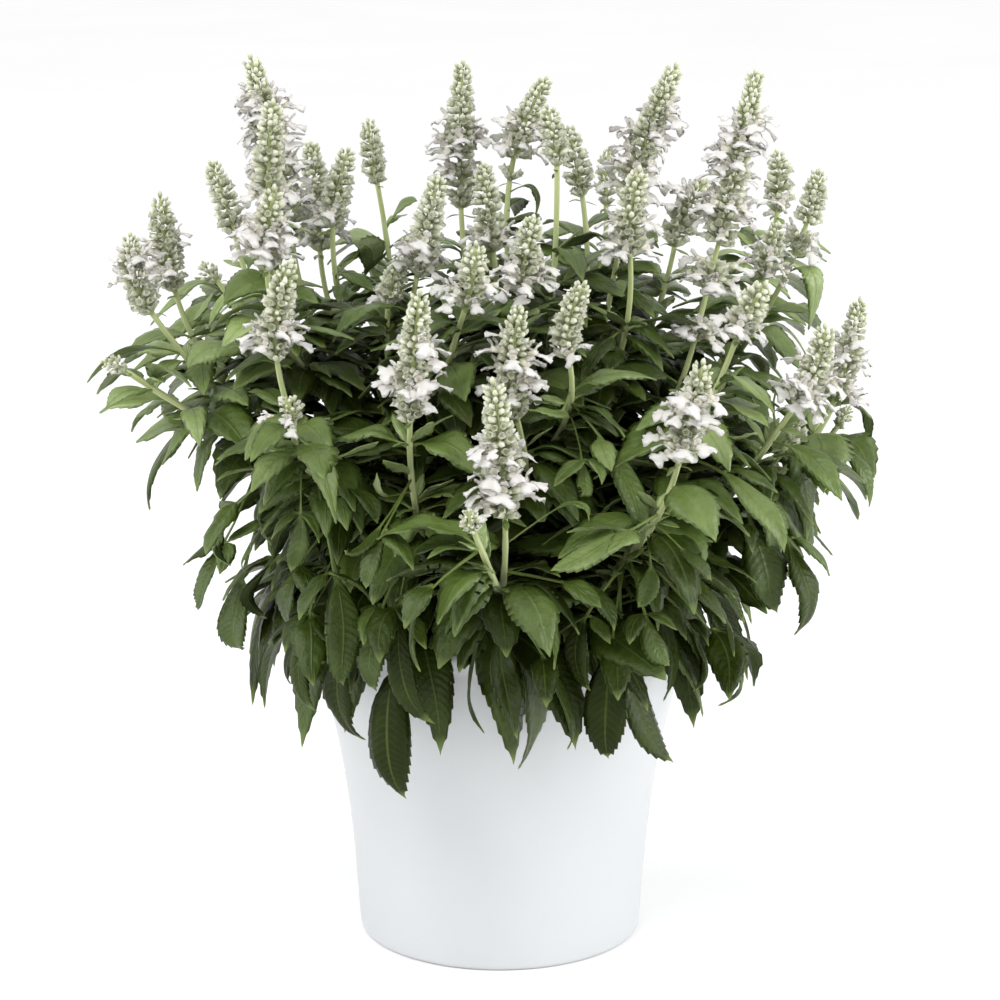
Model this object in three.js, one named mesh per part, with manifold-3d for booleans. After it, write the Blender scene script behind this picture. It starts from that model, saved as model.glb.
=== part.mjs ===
// Potted mealycup sage: a flared white pot, its soil, leafy square stems with drooping
// toothed leaves, and a spike of woolly calyxes and two-lipped flowers on each shoot.
// Millimetres, +Z up, origin at the middle of the pot's underside, -Y faces the viewer.
import * as THREE from "three";
import { mergeVertices } from "three/addons/utils/BufferGeometryUtils.js";
import Module from "manifold-3d";

const wasm = await Module();
wasm.setup();

// Driving dimensions
const pot = {
  height: 178, footRadius: 74.5, lean: 0.0633, flare: 4.02e-6, flareTop: 135, brim: 0.27,
  wall: 3, floor: 5, lip: 4,
  edge: 3, sides: 32,
};
const soil = { top: 160, gap: 0.4, sides: 16, rings: 3, relief: 2.5 };
const stem = { rootDepth: 20, collar: 6, footRadius: 2.5, topRadius: 1.5, holeGap: 0.8, ringEvery: 30 };
const leaf = { clearance: 0.35, inset: 0.2, rootDepth: 1.1, thickness: 1.5, petiole: 1.15 };
const spike = { seat: 0.55, core: 0.72, columns: 4, rowEvery: 14.5, corolla: 19 };
const clump = { depth: 1.28, skirt: 1.06 };
const seed = 20417;

// The eye that sees the plant from the front, to turn picture points into places on the plant
const view = { distance: 1660, height: 637, tilt: 13.7, focal: 3278, centre: 500 };

// Each stem has its root on the soil, [x, y], and its shoots. A shoot has the picture points of its
// spike's tip and foot and of a knee lower on its stalk, its depth behind the pot's axis in mm, the
// spike's widest radius in mm,
// the share of the spike in open flower, and any bare stretches between whorls.
const stems = [
  { name: "far_left", root: [-62, -5], shoots: [
    { name: "a", tip: [160, 196], foot: [175, 291], knee: [190, 345],
      depth: 20, width: 9, open: [0.1, 0.62] },
    { name: "b", tip: [130, 236], foot: [151, 312], knee: [181, 354],
      depth: -25, width: 8.5, open: [0.5, 0.8], from: 0.55 },
    { name: "m", tip: [103, 362], foot: [126, 371], knee: [153, 389],
      depth: -45, width: 5.5, open: [0, 0], from: 0.45 },
    { name: "k", tip: [203, 266], foot: [217, 281], knee: [228, 294],
      depth: 55, width: 6, open: [0, 0], from: 0.6 },
  ] },
  { name: "back_left", root: [-45, 38], shoots: [
    { name: "d", tip: [250, 56], foot: [293, 246], knee: [297, 275],
      depth: 35, width: 9.5, open: [0.12, 0.85] },
    { name: "c", tip: [211, 165], foot: [235, 235], knee: [246, 288],
      depth: 85, width: 9, open: [0, 0.15], from: 0.4 },
  ] },
  { name: "left", root: [-38, 0], shoots: [
    { name: "e", tip: [273, 104], foot: [268, 203], knee: [268, 240], depth: 0, width: 9.5, open: [0, 0.4] },
    { name: "f", tip: [274, 190], foot: [267, 268], knee: [268, 303],
      depth: -40, width: 9.5, open: [0.1, 0.7], from: 0.5 },
  ] },
  { name: "front_left", root: [-48, -38], shoots: [
    { name: "g", tip: [289, 265], foot: [277, 360], knee: [285, 421],
      depth: -75, width: 9.5, open: [0.05, 0.5] },
    { name: "n", tip: [284, 399], foot: [294, 420], knee: [293, 439],
      depth: -98, width: 6, open: [0, 0.5], from: 0.55 },
  ] },
  { name: "back_mid_left", root: [-22, 50], shoots: [
    { name: "h", tip: [311, 145], foot: [320, 250], knee: [322, 285],
      depth: 75, width: 9.5, open: [0.05, 0.6] },
    { name: "i", tip: [348, 151], foot: [333, 226], knee: [331, 271],
      depth: 30, width: 8.5, open: [0, 0.3], from: 0.45 },
    { name: "j", tip: [368, 121], foot: [377, 182], knee: [389, 245],
      depth: 105, width: 7.5, open: [0, 0], from: 0.35 },
  ] },
  { name: "front_mid_left", root: [-30, -54], shoots: [
    { name: "o", tip: [420, 294], foot: [410, 421], knee: [407, 510],
      depth: -95, width: 9.5, open: [0.2, 0.7] },
    { name: "p", tip: [402, 262], foot: [388, 305], knee: [386, 330],
      depth: -15, width: 8, open: [0, 0.1], from: 0.35 },
  ] },
  { name: "mid_left", root: [-14, -20], shoots: [
    { name: "q", tip: [438, 180], foot: [417, 276], knee: [411, 303],
      depth: -15, width: 9.5, open: [0, 0.45] },
    { name: "t", tip: [476, 246], foot: [466, 306], knee: [458, 330],
      depth: -68, width: 8.5, open: [0, 0.6], from: 0.5 },
  ] },
  { name: "back_middle", root: [2, 44], shoots: [
    { name: "r", tip: [463, 64], foot: [461, 208], knee: [463, 250],
      depth: 80, width: 9.5, open: [0.2, 0.65] },
    { name: "s", tip: [484, 167], foot: [493, 250], knee: [497, 275],
      depth: 30, width: 9, open: [0, 0.2], from: 0.5 },
  ] },
  { name: "middle", root: [14, 10], shoots: [
    { name: "v", tip: [547, 108], foot: [557, 165], knee: [558, 290], depth: 0, width: 8, open: [0, 0] },
    { name: "u", tip: [546, 80], foot: [510, 178], knee: [504, 222],
      depth: 65, width: 9, open: [0.3, 0.6], bare: [0.08, 0.22], from: 0.4 },
  ] },
  { name: "front_middle", root: [16, -38], shoots: [
    { name: "x", tip: [533, 220], foot: [521, 294], knee: [519, 325],
      depth: -32, width: 9.5, open: [0, 0.5] },
    { name: "y", tip: [520, 310], foot: [517, 418], knee: [530, 470],
      depth: -82, width: 9, open: [0.2, 0.75], from: 0.35 },
    { name: "z", tip: [584, 285], foot: [568, 356], knee: [582, 410],
      depth: -72, width: 8.5, open: [0, 0.1], from: 0.45 },
  ] },
  { name: "front", root: [-2, -72], shoots: [
    { name: "front", tip: [493, 383], foot: [505, 515], knee: [507, 590],
      depth: -116, width: 10.5, open: [0.05, 0.62] },
    { name: "front_bud", tip: [469, 511], foot: [474, 532], knee: [484, 556],
      depth: -140, width: 5.5, open: [0, 0], from: 0.45 },
  ] },
  { name: "back_mid_right", root: [26, 58], shoots: [
    { name: "w", tip: [569, 130], foot: [582, 195], knee: [590, 247], depth: 65, width: 8.5, open: [0, 0] },
    { name: "back_bud", tip: [609, 150], foot: [606, 204], knee: [607, 240],
      depth: 112, width: 6.5, open: [0, 0], from: 0.45 },
  ] },
  { name: "right", root: [38, 22], shoots: [
    { name: "tall_right", tip: [676, 66], foot: [628, 205], knee: [620, 245],
      depth: 42, width: 10, open: [0.1, 0.75] },
    { name: "near_right", tip: [639, 171], foot: [630, 256], knee: [635, 330],
      depth: -25, width: 9.5, open: [0, 0.45], from: 0.4 },
    { name: "grey_right", tip: [705, 183], foot: [675, 244], knee: [668, 280],
      depth: 98, width: 10.5, open: [0.5, 0.75], from: 0.3 },
  ] },
  { name: "mid_right", root: [46, -12], shoots: [
    { name: "tallest_right", tip: [756, 71], foot: [694, 342], knee: [684, 380],
      depth: -8, width: 9.5, open: [0, 0.85], bare: [0.1, 0.2, 0.33, 0.4] },
    { name: "behind_right", tip: [777, 227], foot: [762, 277], knee: [752, 312],
      depth: 40, width: 8.5, open: [0, 0.6], from: 0.45 },
  ] },
  { name: "back_right", root: [62, 38], shoots: [
    { name: "back_right", tip: [777, 154], foot: [778, 210], knee: [772, 245],
      depth: 100, width: 9.5, open: [0, 0.1] },
    { name: "right_edge", tip: [819, 173], foot: [797, 250], knee: [768, 320],
      depth: 48, width: 8.5, open: [0, 0.2], bare: [0.2, 0.34], from: 0.4 },
  ] },
  { name: "front_right", root: [44, -50], shoots: [
    { name: "low_right", tip: [703, 364], foot: [679, 462], knee: [660, 535],
      depth: -106, width: 9.5, open: [0, 0.75] },
    { name: "white_right", tip: [764, 286], foot: [737, 337], knee: [719, 387],
      depth: -52, width: 10, open: [0, 0.3], from: 0.5 },
  ] },
  { name: "far_right", root: [70, -2], shoots: [
    { name: "outer_right", tip: [860, 301], foot: [836, 396], knee: [820, 446],
      depth: 5, width: 8.5, open: [0, 0.7] },
    { name: "inner_right", tip: [825, 328], foot: [796, 405], knee: [761, 454],
      depth: -58, width: 9, open: [0, 0.6], from: 0.4 },
    { name: "small_right", tip: [797, 416], foot: [790, 440], knee: [782, 452],
      depth: -22, width: 6.5, open: [0, 0], from: 0.5 },
    { name: "tiny_right", tip: [849, 408], foot: [838, 426], knee: [828, 440],
      depth: 26, width: 5, open: [0, 0], from: 0.6 },
  ] },
];

// The leaves that stand out from the front: the picture points where each leaves its shoot, of the
// middle of its rib and of its tip, its width in the picture, the depths of its start and tip in mm,
// and how far it is rolled over, in radians.
const shownLeaves = [
  { at: [178, 358], mid: [130, 350], tip: [87, 383], wide: 26, depth: [-25, -38], roll: 0.5 },
  { at: [152, 395], mid: [128, 391], tip: [106, 408], wide: 26, depth: [-45, -58], roll: -0.3 },
  { at: [212, 408], mid: [186, 401], tip: [157, 418], wide: 22, depth: [-10, -30], roll: 0.4 },
  { at: [212, 421], mid: [165, 447], tip: [150, 510], wide: 38, depth: [0, 8], roll: -0.5 },
  { at: [183, 363], mid: [166, 368], tip: [155, 394], wide: 28, depth: [-30, -48], roll: -0.4 },
  { at: [256, 351], mid: [222, 347], tip: [188, 368], wide: 40, depth: [-20, -42], roll: -0.3 },
  { at: [262, 338], mid: [225, 328], tip: [188, 338], wide: 22, depth: [0, -10], roll: 0.4 },
  { at: [184, 335], mid: [188, 318], tip: [212, 298], wide: 22, depth: [10, 30], roll: 0.4 },
  { at: [225, 293], mid: [193, 286], tip: [150, 326], wide: 26, depth: [48, 40], roll: 0 },
  { at: [268, 294], mid: [237, 290], tip: [209, 328], wide: 28, depth: [12, 0], roll: -0.2 },
  { at: [312, 284], mid: [345, 274], tip: [378, 293], wide: 22, depth: [10, 0], roll: 0.2 },
  { at: [236, 484], mid: [222, 520], tip: [230, 565], wide: 40, depth: [-55, -62], roll: 0 },
  { at: [240, 572], mid: [237, 602], tip: [243, 648], wide: 36, depth: [-35, -42], roll: 0 },
  { at: [279, 480], mid: [247, 470], tip: [217, 481], wide: 20, depth: [-80, -92], roll: 0.3 },
  { at: [296, 447], mid: [322, 468], tip: [336, 524], wide: 36, depth: [-98, -112], roll: 0 },
  { at: [299, 502], mid: [297, 532], tip: [291, 571], wide: 22, depth: [-102, -110], roll: 0 },
  { at: [400, 535], mid: [378, 548], tip: [366, 588], wide: 24, depth: [-118, -128], roll: 0 },
  { at: [236, 540], mid: [215, 568], tip: [196, 607], wide: 28, depth: [-25, -32], roll: 0 },
  { at: [325, 560], mid: [334, 612], tip: [343, 684], wide: 46, depth: [-112, -120], roll: 0 },
  { at: [310, 600], mid: [303, 645], tip: [316, 711], wide: 22, depth: [-96, -100], roll: 0 },
  { at: [300, 590], mid: [300, 635], tip: [290, 683], wide: 24, depth: [-84, -88], roll: 0 },
  { at: [350, 600], mid: [343, 672], tip: [364, 739], wide: 46, depth: [-106, -110], roll: 0 },
  { at: [386, 640], mid: [388, 712], tip: [405, 797], wide: 52, depth: [-116, -118], roll: 0.1 },
  { at: [388, 580], mid: [395, 655], tip: [434, 723], wide: 30, depth: [-124, -126], roll: 0 },
  { at: [413, 558], mid: [417, 610], tip: [420, 671], wide: 40, depth: [-130, -136], roll: 0 },
  { at: [470, 600], mid: [470, 672], tip: [484, 733], wide: 26, depth: [-112, -112], roll: 0 },
  { at: [503, 622], mid: [506, 680], tip: [517, 738], wide: 40, depth: [-126, -130], roll: 0 },
  { at: [528, 640], mid: [530, 702], tip: [519, 768], wide: 48, depth: [-114, -116], roll: 0 },
  { at: [515, 600], mid: [543, 618], tip: [554, 670], wide: 32, depth: [-126, -138], roll: 0 },
  { at: [545, 640], mid: [561, 692], tip: [568, 748], wide: 30, depth: [-114, -116], roll: 0 },
  { at: [616, 632], mid: [607, 690], tip: [608, 757], wide: 48, depth: [-112, -118], roll: 0 },
  { at: [642, 638], mid: [638, 695], tip: [672, 761], wide: 40, depth: [-100, -104], roll: 0.3 },
  { at: [630, 618], mid: [650, 632], tip: [669, 665], wide: 28, depth: [-118, -126], roll: 0 },
  { at: [675, 575], mid: [707, 598], tip: [734, 656], wide: 48, depth: [-102, -108], roll: 0 },
  { at: [733, 605], mid: [729, 655], tip: [720, 705], wide: 34, depth: [-80, -86], roll: 0 },
  { at: [785, 530], mid: [806, 570], tip: [795, 634], wide: 40, depth: [-52, -60], roll: 0 },
  { at: [710, 468], mid: [755, 493], tip: [784, 552], wide: 34, depth: [-78, -98], roll: 0 },
  { at: [826, 450], mid: [862, 462], tip: [869, 507], wide: 20, depth: [-10, -20], roll: 0.3 },
  { at: [765, 448], mid: [812, 460], tip: [842, 501], wide: 30, depth: [-62, -80], roll: 0.3 },
  { at: [838, 388], mid: [862, 408], tip: [868, 450], wide: 20, depth: [12, 18], roll: 0.3 },
  { at: [787, 280], mid: [815, 274], tip: [808, 331], wide: 30, depth: [45, 40], roll: 0.3 },
  { at: [775, 452], mid: [804, 482], tip: [806, 541], wide: 38, depth: [-25, -35], roll: 0 },
  { at: [640, 543], mid: [598, 546], tip: [552, 570], wide: 44, depth: [-112, -136], roll: 0 },
  { at: [557, 566], mid: [588, 592], tip: [614, 630], wide: 40, depth: [-118, -134], roll: 0 },
  { at: [628, 405], mid: [622, 478], tip: [642, 546], wide: 38, depth: [-70, -98], roll: 0 },
  { at: [505, 588], mid: [483, 583], tip: [459, 602], wide: 26, depth: [-126, -146], roll: 0.2 },
  { at: [515, 581], mid: [538, 567], tip: [560, 577], wide: 24, depth: [-122, -138], roll: -0.2 },
  { at: [475, 549], mid: [452, 548], tip: [427, 559], wide: 18, depth: [-128, -142], roll: 0.2 },
  { at: [545, 513], mid: [568, 506], tip: [589, 521], wide: 18, depth: [-92, -108], roll: 0 },
  { at: [597, 461], mid: [588, 475], tip: [580, 496], wide: 18, depth: [-86, -98], roll: 0 },
  { at: [577, 422], mid: [554, 410], tip: [529, 410], wide: 28, depth: [-78, -88], roll: -0.3 },
  { at: [630, 349], mid: [600, 348], tip: [581, 384], wide: 28, depth: [-28, -50], roll: 0.3 },
  { at: [652, 562], mid: [648, 580], tip: [638, 607], wide: 24, depth: [-118, -128], roll: 0 },
  { at: [669, 555], mid: [690, 554], tip: [711, 580], wide: 22, depth: [-116, -132], roll: 0 },
  { at: [632, 262], mid: [595, 254], tip: [562, 283], wide: 30, depth: [15, 0], roll: 0.2 },
  { at: [508, 182], mid: [535, 188], tip: [535, 217], wide: 16, depth: [66, 62], roll: 0.2 },
  { at: [386, 290], mid: [368, 262], tip: [352, 243], wide: 32, depth: [60, 48], roll: 0.2 },
  { at: [388, 226], mid: [402, 206], tip: [417, 201], wide: 22, depth: [104, 100], roll: 0.2 },
  { at: [403, 322], mid: [366, 308], tip: [333, 342], wide: 38, depth: [-22, -44], roll: 0 },
  { at: [331, 471], mid: [352, 452], tip: [378, 442], wide: 22, depth: [-88, -100], roll: 0 },
  { at: [335, 486], mid: [360, 496], tip: [377, 523], wide: 26, depth: [-96, -112], roll: 0 },
  { at: [396, 515], mid: [384, 495], tip: [377, 473], wide: 18, depth: [-104, -112], roll: 0 },
  { at: [728, 411], mid: [748, 410], tip: [768, 427], wide: 18, depth: [-58, -74], roll: 0 },
  { at: [718, 448], mid: [738, 436], tip: [757, 434], wide: 22, depth: [-74, -90], roll: 0 },
  { at: [752, 385], mid: [775, 390], tip: [797, 410], wide: 26, depth: [-20, -34], roll: 0 },
];

// Each try of a shown leaf moves it this far back, in mm
const depthShifts = [0, -5, 5, -10, 10, -16, 16, -22, 22, -28, 28];

// Fill leaves by rule, in opposite pairs along each shoot
const pairs = {
  every: 58, first: 24, last: 0.93, longLow: 84, longHigh: 44, widthShare: 0.44, tries: 12, keptInside: 0.15,
};

// Skirt leaves arch low over the rim from each outer stem
const skirt = {
  outerRoot: 44, perStem: 5, fan: 0.62, low: 0.07, step: 0.045, rimRoom: 9, long: 62, wide: 13.5, tries: 16,
};

const up = new THREE.Vector3(0, 0, 1);
const vec = (x, y, z) => new THREE.Vector3(x, y, z);
const mix = THREE.MathUtils.lerp;

// A seeded draw from 0 to 1 that depends only on its keys
function draw(...keys) {
  let h = seed;
  for (const key of keys) {
    h = Math.imul(h ^ ((key + 0x9e3779b9) >>> 0), 0x85ebca6b) >>> 0;
    h = (h ^ (h >>> 13)) >>> 0;
    h = Math.imul(h, 0xc2b2ae35) >>> 0;
    h = (h ^ (h >>> 16)) >>> 0;
  }
  return h / 4294967296;
}
const drawBetween = (low, high, ...keys) => low + (high - low) * draw(...keys);

// The place at a given depth that is seen at a picture point
function fromPhoto([px, py], depth) {
  const tilt = THREE.MathUtils.degToRad(view.tilt);
  const across = (px - view.centre) / view.focal;
  const above = (view.centre - py) / view.focal;
  const ray = vec(across, Math.cos(tilt) + above * Math.sin(tilt), above * Math.cos(tilt) - Math.sin(tilt));
  return vec(0, -view.distance, view.height).addScaledVector(ray, (depth + view.distance) / ray.y);
}

// A closed mesh from points and faces, as a solid
function solidOf(points, faces) {
  const made = new wasm.Manifold(new wasm.Mesh({
    numProp: 3,
    vertProperties: new Float32Array(points.flatMap((p) => [p.x, p.y, p.z])),
    triVerts: new Uint32Array(faces.flat()),
  }));
  return made;
}

function solidOfGeometry(geometry) {
  geometry.deleteAttribute("normal");
  geometry.deleteAttribute("uv");
  const merged = mergeVertices(geometry, 1e-4);
  const { array } = merged.getAttribute("position");
  return new wasm.Manifold(new wasm.Mesh({
    numProp: 3, vertProperties: new Float32Array(array), triVerts: new Uint32Array(merged.index.array),
  }));
}

function meshOf(name, solid, material) {
  const got = solid.getMesh();
  const geometry = new THREE.BufferGeometry();
  geometry.setAttribute("position", new THREE.BufferAttribute(new Float32Array(got.vertProperties), 3));
  geometry.setIndex(new THREE.BufferAttribute(new Uint32Array(got.triVerts), 1));
  geometry.computeVertexNormals();
  const mesh = new THREE.Mesh(geometry, material.clone());
  mesh.name = name;
  return mesh;
}

// Pot and soil
const wallLevels = [120, 60];
const potRadius = (z) => {
  const low = Math.min(z, pot.flareTop);
  return pot.footRadius + pot.lean * low + pot.flare * low ** 3 + pot.brim * (z - low);
};

function potSolid() {
  const outer = [60, 105, 140, pot.height - pot.lip].map((z) => [potRadius(z), z]);
  const inner = [pot.height, ...wallLevels, pot.floor].map((z) => [potRadius(z) - pot.wall, z]);
  const rimTop = potRadius(pot.height);
  const outline = [
    [0, 0], [pot.footRadius - pot.edge, 0], [pot.footRadius + 0.2, pot.edge],
    ...outer,
    [rimTop + 1.2, pot.height - pot.lip], [rimTop + 1.6, pot.height - 1], [rimTop + 0.6, pot.height],
    ...inner, [0, pot.floor],
  ].map(([r, z]) => new THREE.Vector2(r, z));
  return solidOfGeometry(new THREE.LatheGeometry(outline, pot.sides).rotateX(Math.PI / 2));
}

// A lump of soil with a crumbly top, a plain hole round each root
function soilSolid(roots) {
  const points = [];
  const rim = potRadius(soil.top) - pot.wall - soil.gap;
  const levels = [pot.floor + soil.gap, ...wallLevels.toReversed()];
  levels.forEach((z) => {
    const r = potRadius(z) - pot.wall - soil.gap;
    for (let i = 0; i < soil.sides; i++) {
      const a = (i / soil.sides) * 2 * Math.PI;
      points.push(vec(r * Math.cos(a), r * Math.sin(a), z));
    }
  });
  for (let ring = 0; ring < soil.rings; ring++) {
    for (let i = 0; i < soil.sides; i++) {
      const a = ((i + 0.5 * (ring % 2)) / soil.sides) * 2 * Math.PI;
      const r = (rim - 0.6) * (1 - ring / soil.rings);
      const z = soil.top + drawBetween(-1, 1, 7, ring, i) * soil.relief;
      points.push(vec(r * Math.cos(a), r * Math.sin(a), z));
    }
  }
  const rows = levels.length + soil.rings;
  const faces = [];
  for (let row = 0; row + 1 < rows; row++) {
    for (let i = 0; i < soil.sides; i++) {
      const j = (i + 1) % soil.sides;
      const [a, b] = [row * soil.sides + i, row * soil.sides + j];
      const [c, d] = [a + soil.sides, b + soil.sides];
      const even = row < levels.length || (row - levels.length) % 2 === 0;
      faces.push(...(even ? [[a, b, c], [b, d, c]] : [[a, b, d], [a, d, c]]));
    }
  }
  const bottom = points.push(vec(0, 0, pot.floor + soil.gap)) - 1;
  const middle = points.push(vec(0, 0, soil.top)) - 1;
  for (let i = 0; i < soil.sides; i++) {
    const j = (i + 1) % soil.sides;
    faces.push([bottom, j, i], [(rows - 1) * soil.sides + i, (rows - 1) * soil.sides + j, middle]);
  }
  const holes = roots.map(([x, y]) => {
    const size = (stem.footRadius + stem.holeGap) * 2 ** 0.5;
    const hole = new THREE.BoxGeometry(size, size, 2 * stem.rootDepth);
    return solidOfGeometry(hole.translate(x, y, soil.top - 0.4));
  });
  return solidOf(points, faces).subtract(wasm.Manifold.union(holes));
}

// A square tube along points; radii in step
function tube(points, radii) {
  const sides = 4;
  const rings = points.map((p, i) => {
    const before = points[Math.max(i - 1, 0)];
    const after = points[Math.min(i + 1, points.length - 1)];
    const along = after.clone().sub(before).normalize();
    const across = vec(1, 0, 0).addScaledVector(along, -along.x).normalize();
    const other = along.clone().cross(across);
    return Array.from({ length: sides }, (_, k) => {
      const a = ((k + 0.5) / sides) * 2 * Math.PI;
      return p.clone().addScaledVector(across, radii[i] * Math.cos(a))
        .addScaledVector(other, radii[i] * Math.sin(a));
    });
  });
  const faces = [];
  for (let i = 0; i + 1 < rings.length; i++) {
    for (let k = 0; k < sides; k++) {
      const [a, b] = [i * sides + k, i * sides + ((k + 1) % sides)];
      faces.push([a, b, a + sides], [b, b + sides, a + sides]);
    }
  }
  const last = (rings.length - 1) * sides;
  faces.push([2, 1, 0], [3, 2, 0], [last, last + 1, last + 2], [last, last + 2, last + 3]);
  return solidOf(rings.flat(), faces);
}

// Shoots: the stalk's curve from the soil or from the main shoot up to the spike's foot
function shootsOf(plan, number) {
  const [x, y] = plan.root;
  const collar = vec(x, y, soil.top + stem.collar);
  const made = [];
  plan.shoots.forEach((data, i) => {
    const depth = data.depth * clump.depth;
    const foot = fromPhoto(data.foot, depth);
    const tip = fromPhoto(data.tip, depth * 1.06 + 2);
    const knee = fromPhoto(data.knee, depth * 0.97);
    const rise = foot.clone().sub(knee).normalize();
    const start = i ? spotOn(made[0].stalk, data.from) : collar;
    const reach = foot.distanceTo(start);
    const leave = up.clone();
    if (i) leave.copy(made[0].stalk.getTangent(data.from)).lerp(foot.clone().sub(start).normalize(), 0.75);
    const stalk = new THREE.CubicBezierCurve3(
      start,
      start.clone().addScaledVector(leave, reach * 0.3),
      foot.clone().addScaledVector(rise, -reach * 0.38),
      foot,
    );
    const axis = new THREE.QuadraticBezierCurve3(
      foot, foot.clone().addScaledVector(rise, foot.distanceTo(tip) * 0.45), tip,
    );
    made.push({ ...data, plan, number, index: i, stalk, axis, root: i ? null : plan.root,
      radii: [i ? 1.9 : stem.footRadius, stem.topRadius] });
  });
  return made;
}

const ringsOf = (stalk) => Math.max(3, Math.round(stalk.getLength() / stem.ringEvery));

// A point inside the stalk's straight stretches between rings
function spotOn(stalk, t) {
  const place = t * ringsOf(stalk);
  const ring = Math.min(Math.floor(place), ringsOf(stalk) - 1);
  const above = stalk.getPoint((ring + 1) / ringsOf(stalk));
  return stalk.getPoint(ring / ringsOf(stalk)).lerp(above, place - ring);
}

function stalkSolid(shoot) {
  const count = ringsOf(shoot.stalk);
  const points = Array.from({ length: count + 1 }, (_, i) => shoot.stalk.getPoint(i / count));
  const radii = points.map((_, i) => mix(...shoot.radii, i / count));
  if (shoot.root) {
    points.unshift(vec(...shoot.root, soil.top - stem.rootDepth));
    radii.unshift(stem.footRadius);
  }
  if (shoot.axis) points[points.length - 1].addScaledVector(shoot.stalk.getTangent(1), -spike.seat);
  return tube(points, radii);
}

// A leaf's blade hangs on a curved rib: start, bend and tip are the rib's control points
function ribFrame(one, t) {
  const point = one.rib.getPoint(t);
  const along = one.rib.getTangent(t);
  const flat = vec(-Math.sin(one.heading), Math.cos(one.heading), 0);
  const level = flat.addScaledVector(along, -flat.dot(along)).normalize();
  const face = along.clone().cross(level);
  const turn = one.roll * Math.min(1, t * 2);
  const side = level.clone().multiplyScalar(Math.cos(turn)).addScaledVector(face, Math.sin(turn));
  return { point, side, face: along.clone().cross(side) };
}

// Share of the full half-width at a share of the blade's length
const bladeShare = (s) => (s ** 0.75 * (1 - s) ** 1.05) / 0.2955;

// Teeth: each pair is a share of the blade and a factor on its half-width there
const bigTeeth = [[0.18, 1], [0.36, 1.05], [0.44, 0.84], [0.66, 1.08], [0.73, 0.84]];
const smallTeeth = [[0.24, 1], [0.5, 1.06], [0.6, 0.84]];

function leafSolid(one) {
  const teeth = one.shown || one.length > 60 ? bigTeeth : smallTeeth;
  const blade = (s) => one.stalkShare + (1 - one.stalkShare) * s;
  const ribStations = [one.stalkShare, ...(one.shown ? [0.34, 0.7] : [0.5]).map(blade)];
  const edgeStations = [[one.stalkShare, leaf.petiole],
    ...teeth.map(([s, factor]) => [blade(s), one.width * bladeShare(s) * factor])];
  const points = [one.rib.getPoint(0), one.rib.getPoint(1)];
  points[0].addScaledVector(one.rib.getTangent(0), -leaf.rootDepth);
  const tops = [];
  const bottoms = [];
  ribStations.forEach((t, i) => {
    const { point, face } = ribFrame(one, t);
    const half = i ? leaf.thickness / 2 : leaf.petiole;
    tops.push(points.push(point.clone().addScaledVector(face, half)) - 1);
    bottoms.push(points.push(point.clone().addScaledVector(face, -half)) - 1);
  });
  const edges = [1, -1].map((hand) => edgeStations.map(([t, half]) => {
    const { point, side, face } = ribFrame(one, t);
    const lift = t > one.stalkShare ? half * Math.sin(one.fold) : 0;
    point.addScaledVector(side, hand * half * Math.cos(one.fold)).addScaledVector(face, lift);
    return points.push(point) - 1;
  }));
  const faces = [];
  const zip = (rib, edge, flip) => {
    const add = (a, b, c) => faces.push(flip ? [a, c, b] : [a, b, c]);
    let [i, j] = [0, 0];
    add(0, rib[0], edge[0]);
    while (i + 1 < rib.length || j + 1 < edge.length) {
      const stepEdge = i + 1 >= rib.length
        || (j + 1 < edge.length && edgeStations[j + 1][0] <= ribStations[i + 1]);
      if (stepEdge) {
        add(rib[i], edge[j + 1], edge[j]);
        j++;
      } else {
        add(rib[i], rib[i + 1], edge[j]);
        i++;
      }
    }
    add(rib[i], 1, edge[j]);
  };
  zip(tops, edges[0], false);
  zip(tops, edges[1], true);
  zip(bottoms, edges[0], true);
  zip(bottoms, edges[1], false);
  return solidOf(points, faces);
}

// Completes a leaf from its rib's three control points
function makeLeaf(start, bend, tip, width, more) {
  const rib = new THREE.QuadraticBezierCurve3(start, bend, tip);
  const heading = Math.atan2(tip.y - start.y, tip.x - start.x);
  return { rib, heading, width, length: rib.getLength(), fold: 0.3, roll: 0, stalkShare: 0.14, ...more };
}

// A shown leaf starts at the nearest point of any shoot; each try moves it in depth along the line of sight
function shownLeaf(data, shoots, attempt) {
  const shift = depthShifts[attempt];
  const [near, far] = data.depth;
  const spread = data.at[1] < 560 ? clump.depth : clump.skirt;
  const at = fromPhoto(data.at, near * spread + shift * 0.5);
  const tip = fromPhoto(data.tip, far * spread + shift);
  const mid = fromPhoto(data.mid, mix(near, far, 0.6) * spread + shift * 0.8);
  let best = { distance: Infinity };
  shoots.forEach((shoot) => {
    for (let i = 2; i <= 20; i++) {
      const point = spotOn(shoot.stalk, i / 21);
      const distance = point.distanceTo(at);
      if (distance < best.distance) best = { distance, point, shoot, t: i / 21 };
    }
  });
  const start = best.point.clone().lerp(at, Math.min(0.5, leaf.inset / best.distance));
  const bend = mid.clone().multiplyScalar(2).addScaledVector(start, -0.5).addScaledVector(tip, -0.5);
  const scale = (far * spread + view.distance) / view.focal;
  const length = at.distanceTo(mid) + mid.distanceTo(tip);
  const stalkShare = Math.min(0.5, Math.max(0.08, best.distance / (best.distance + length)) + 0.05);
  const more = { roll: data.roll, stalkShare, shown: true };
  const made = makeLeaf(start, bend, tip, (data.wide / 2) * scale, more);
  return { ...made, shoot: best.shoot };
}

// Where a leaf of an opposite pair leaves its shoot, each pair a quarter turn from the last
function pairPlace(shoot, t, k, hand) {
  const from = spotOn(shoot.stalk, t);
  return { from, heading: draw(shoot.number, shoot.index, 5) * 3 + (k % 2) * 1.57 + hand * Math.PI };
}

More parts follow.
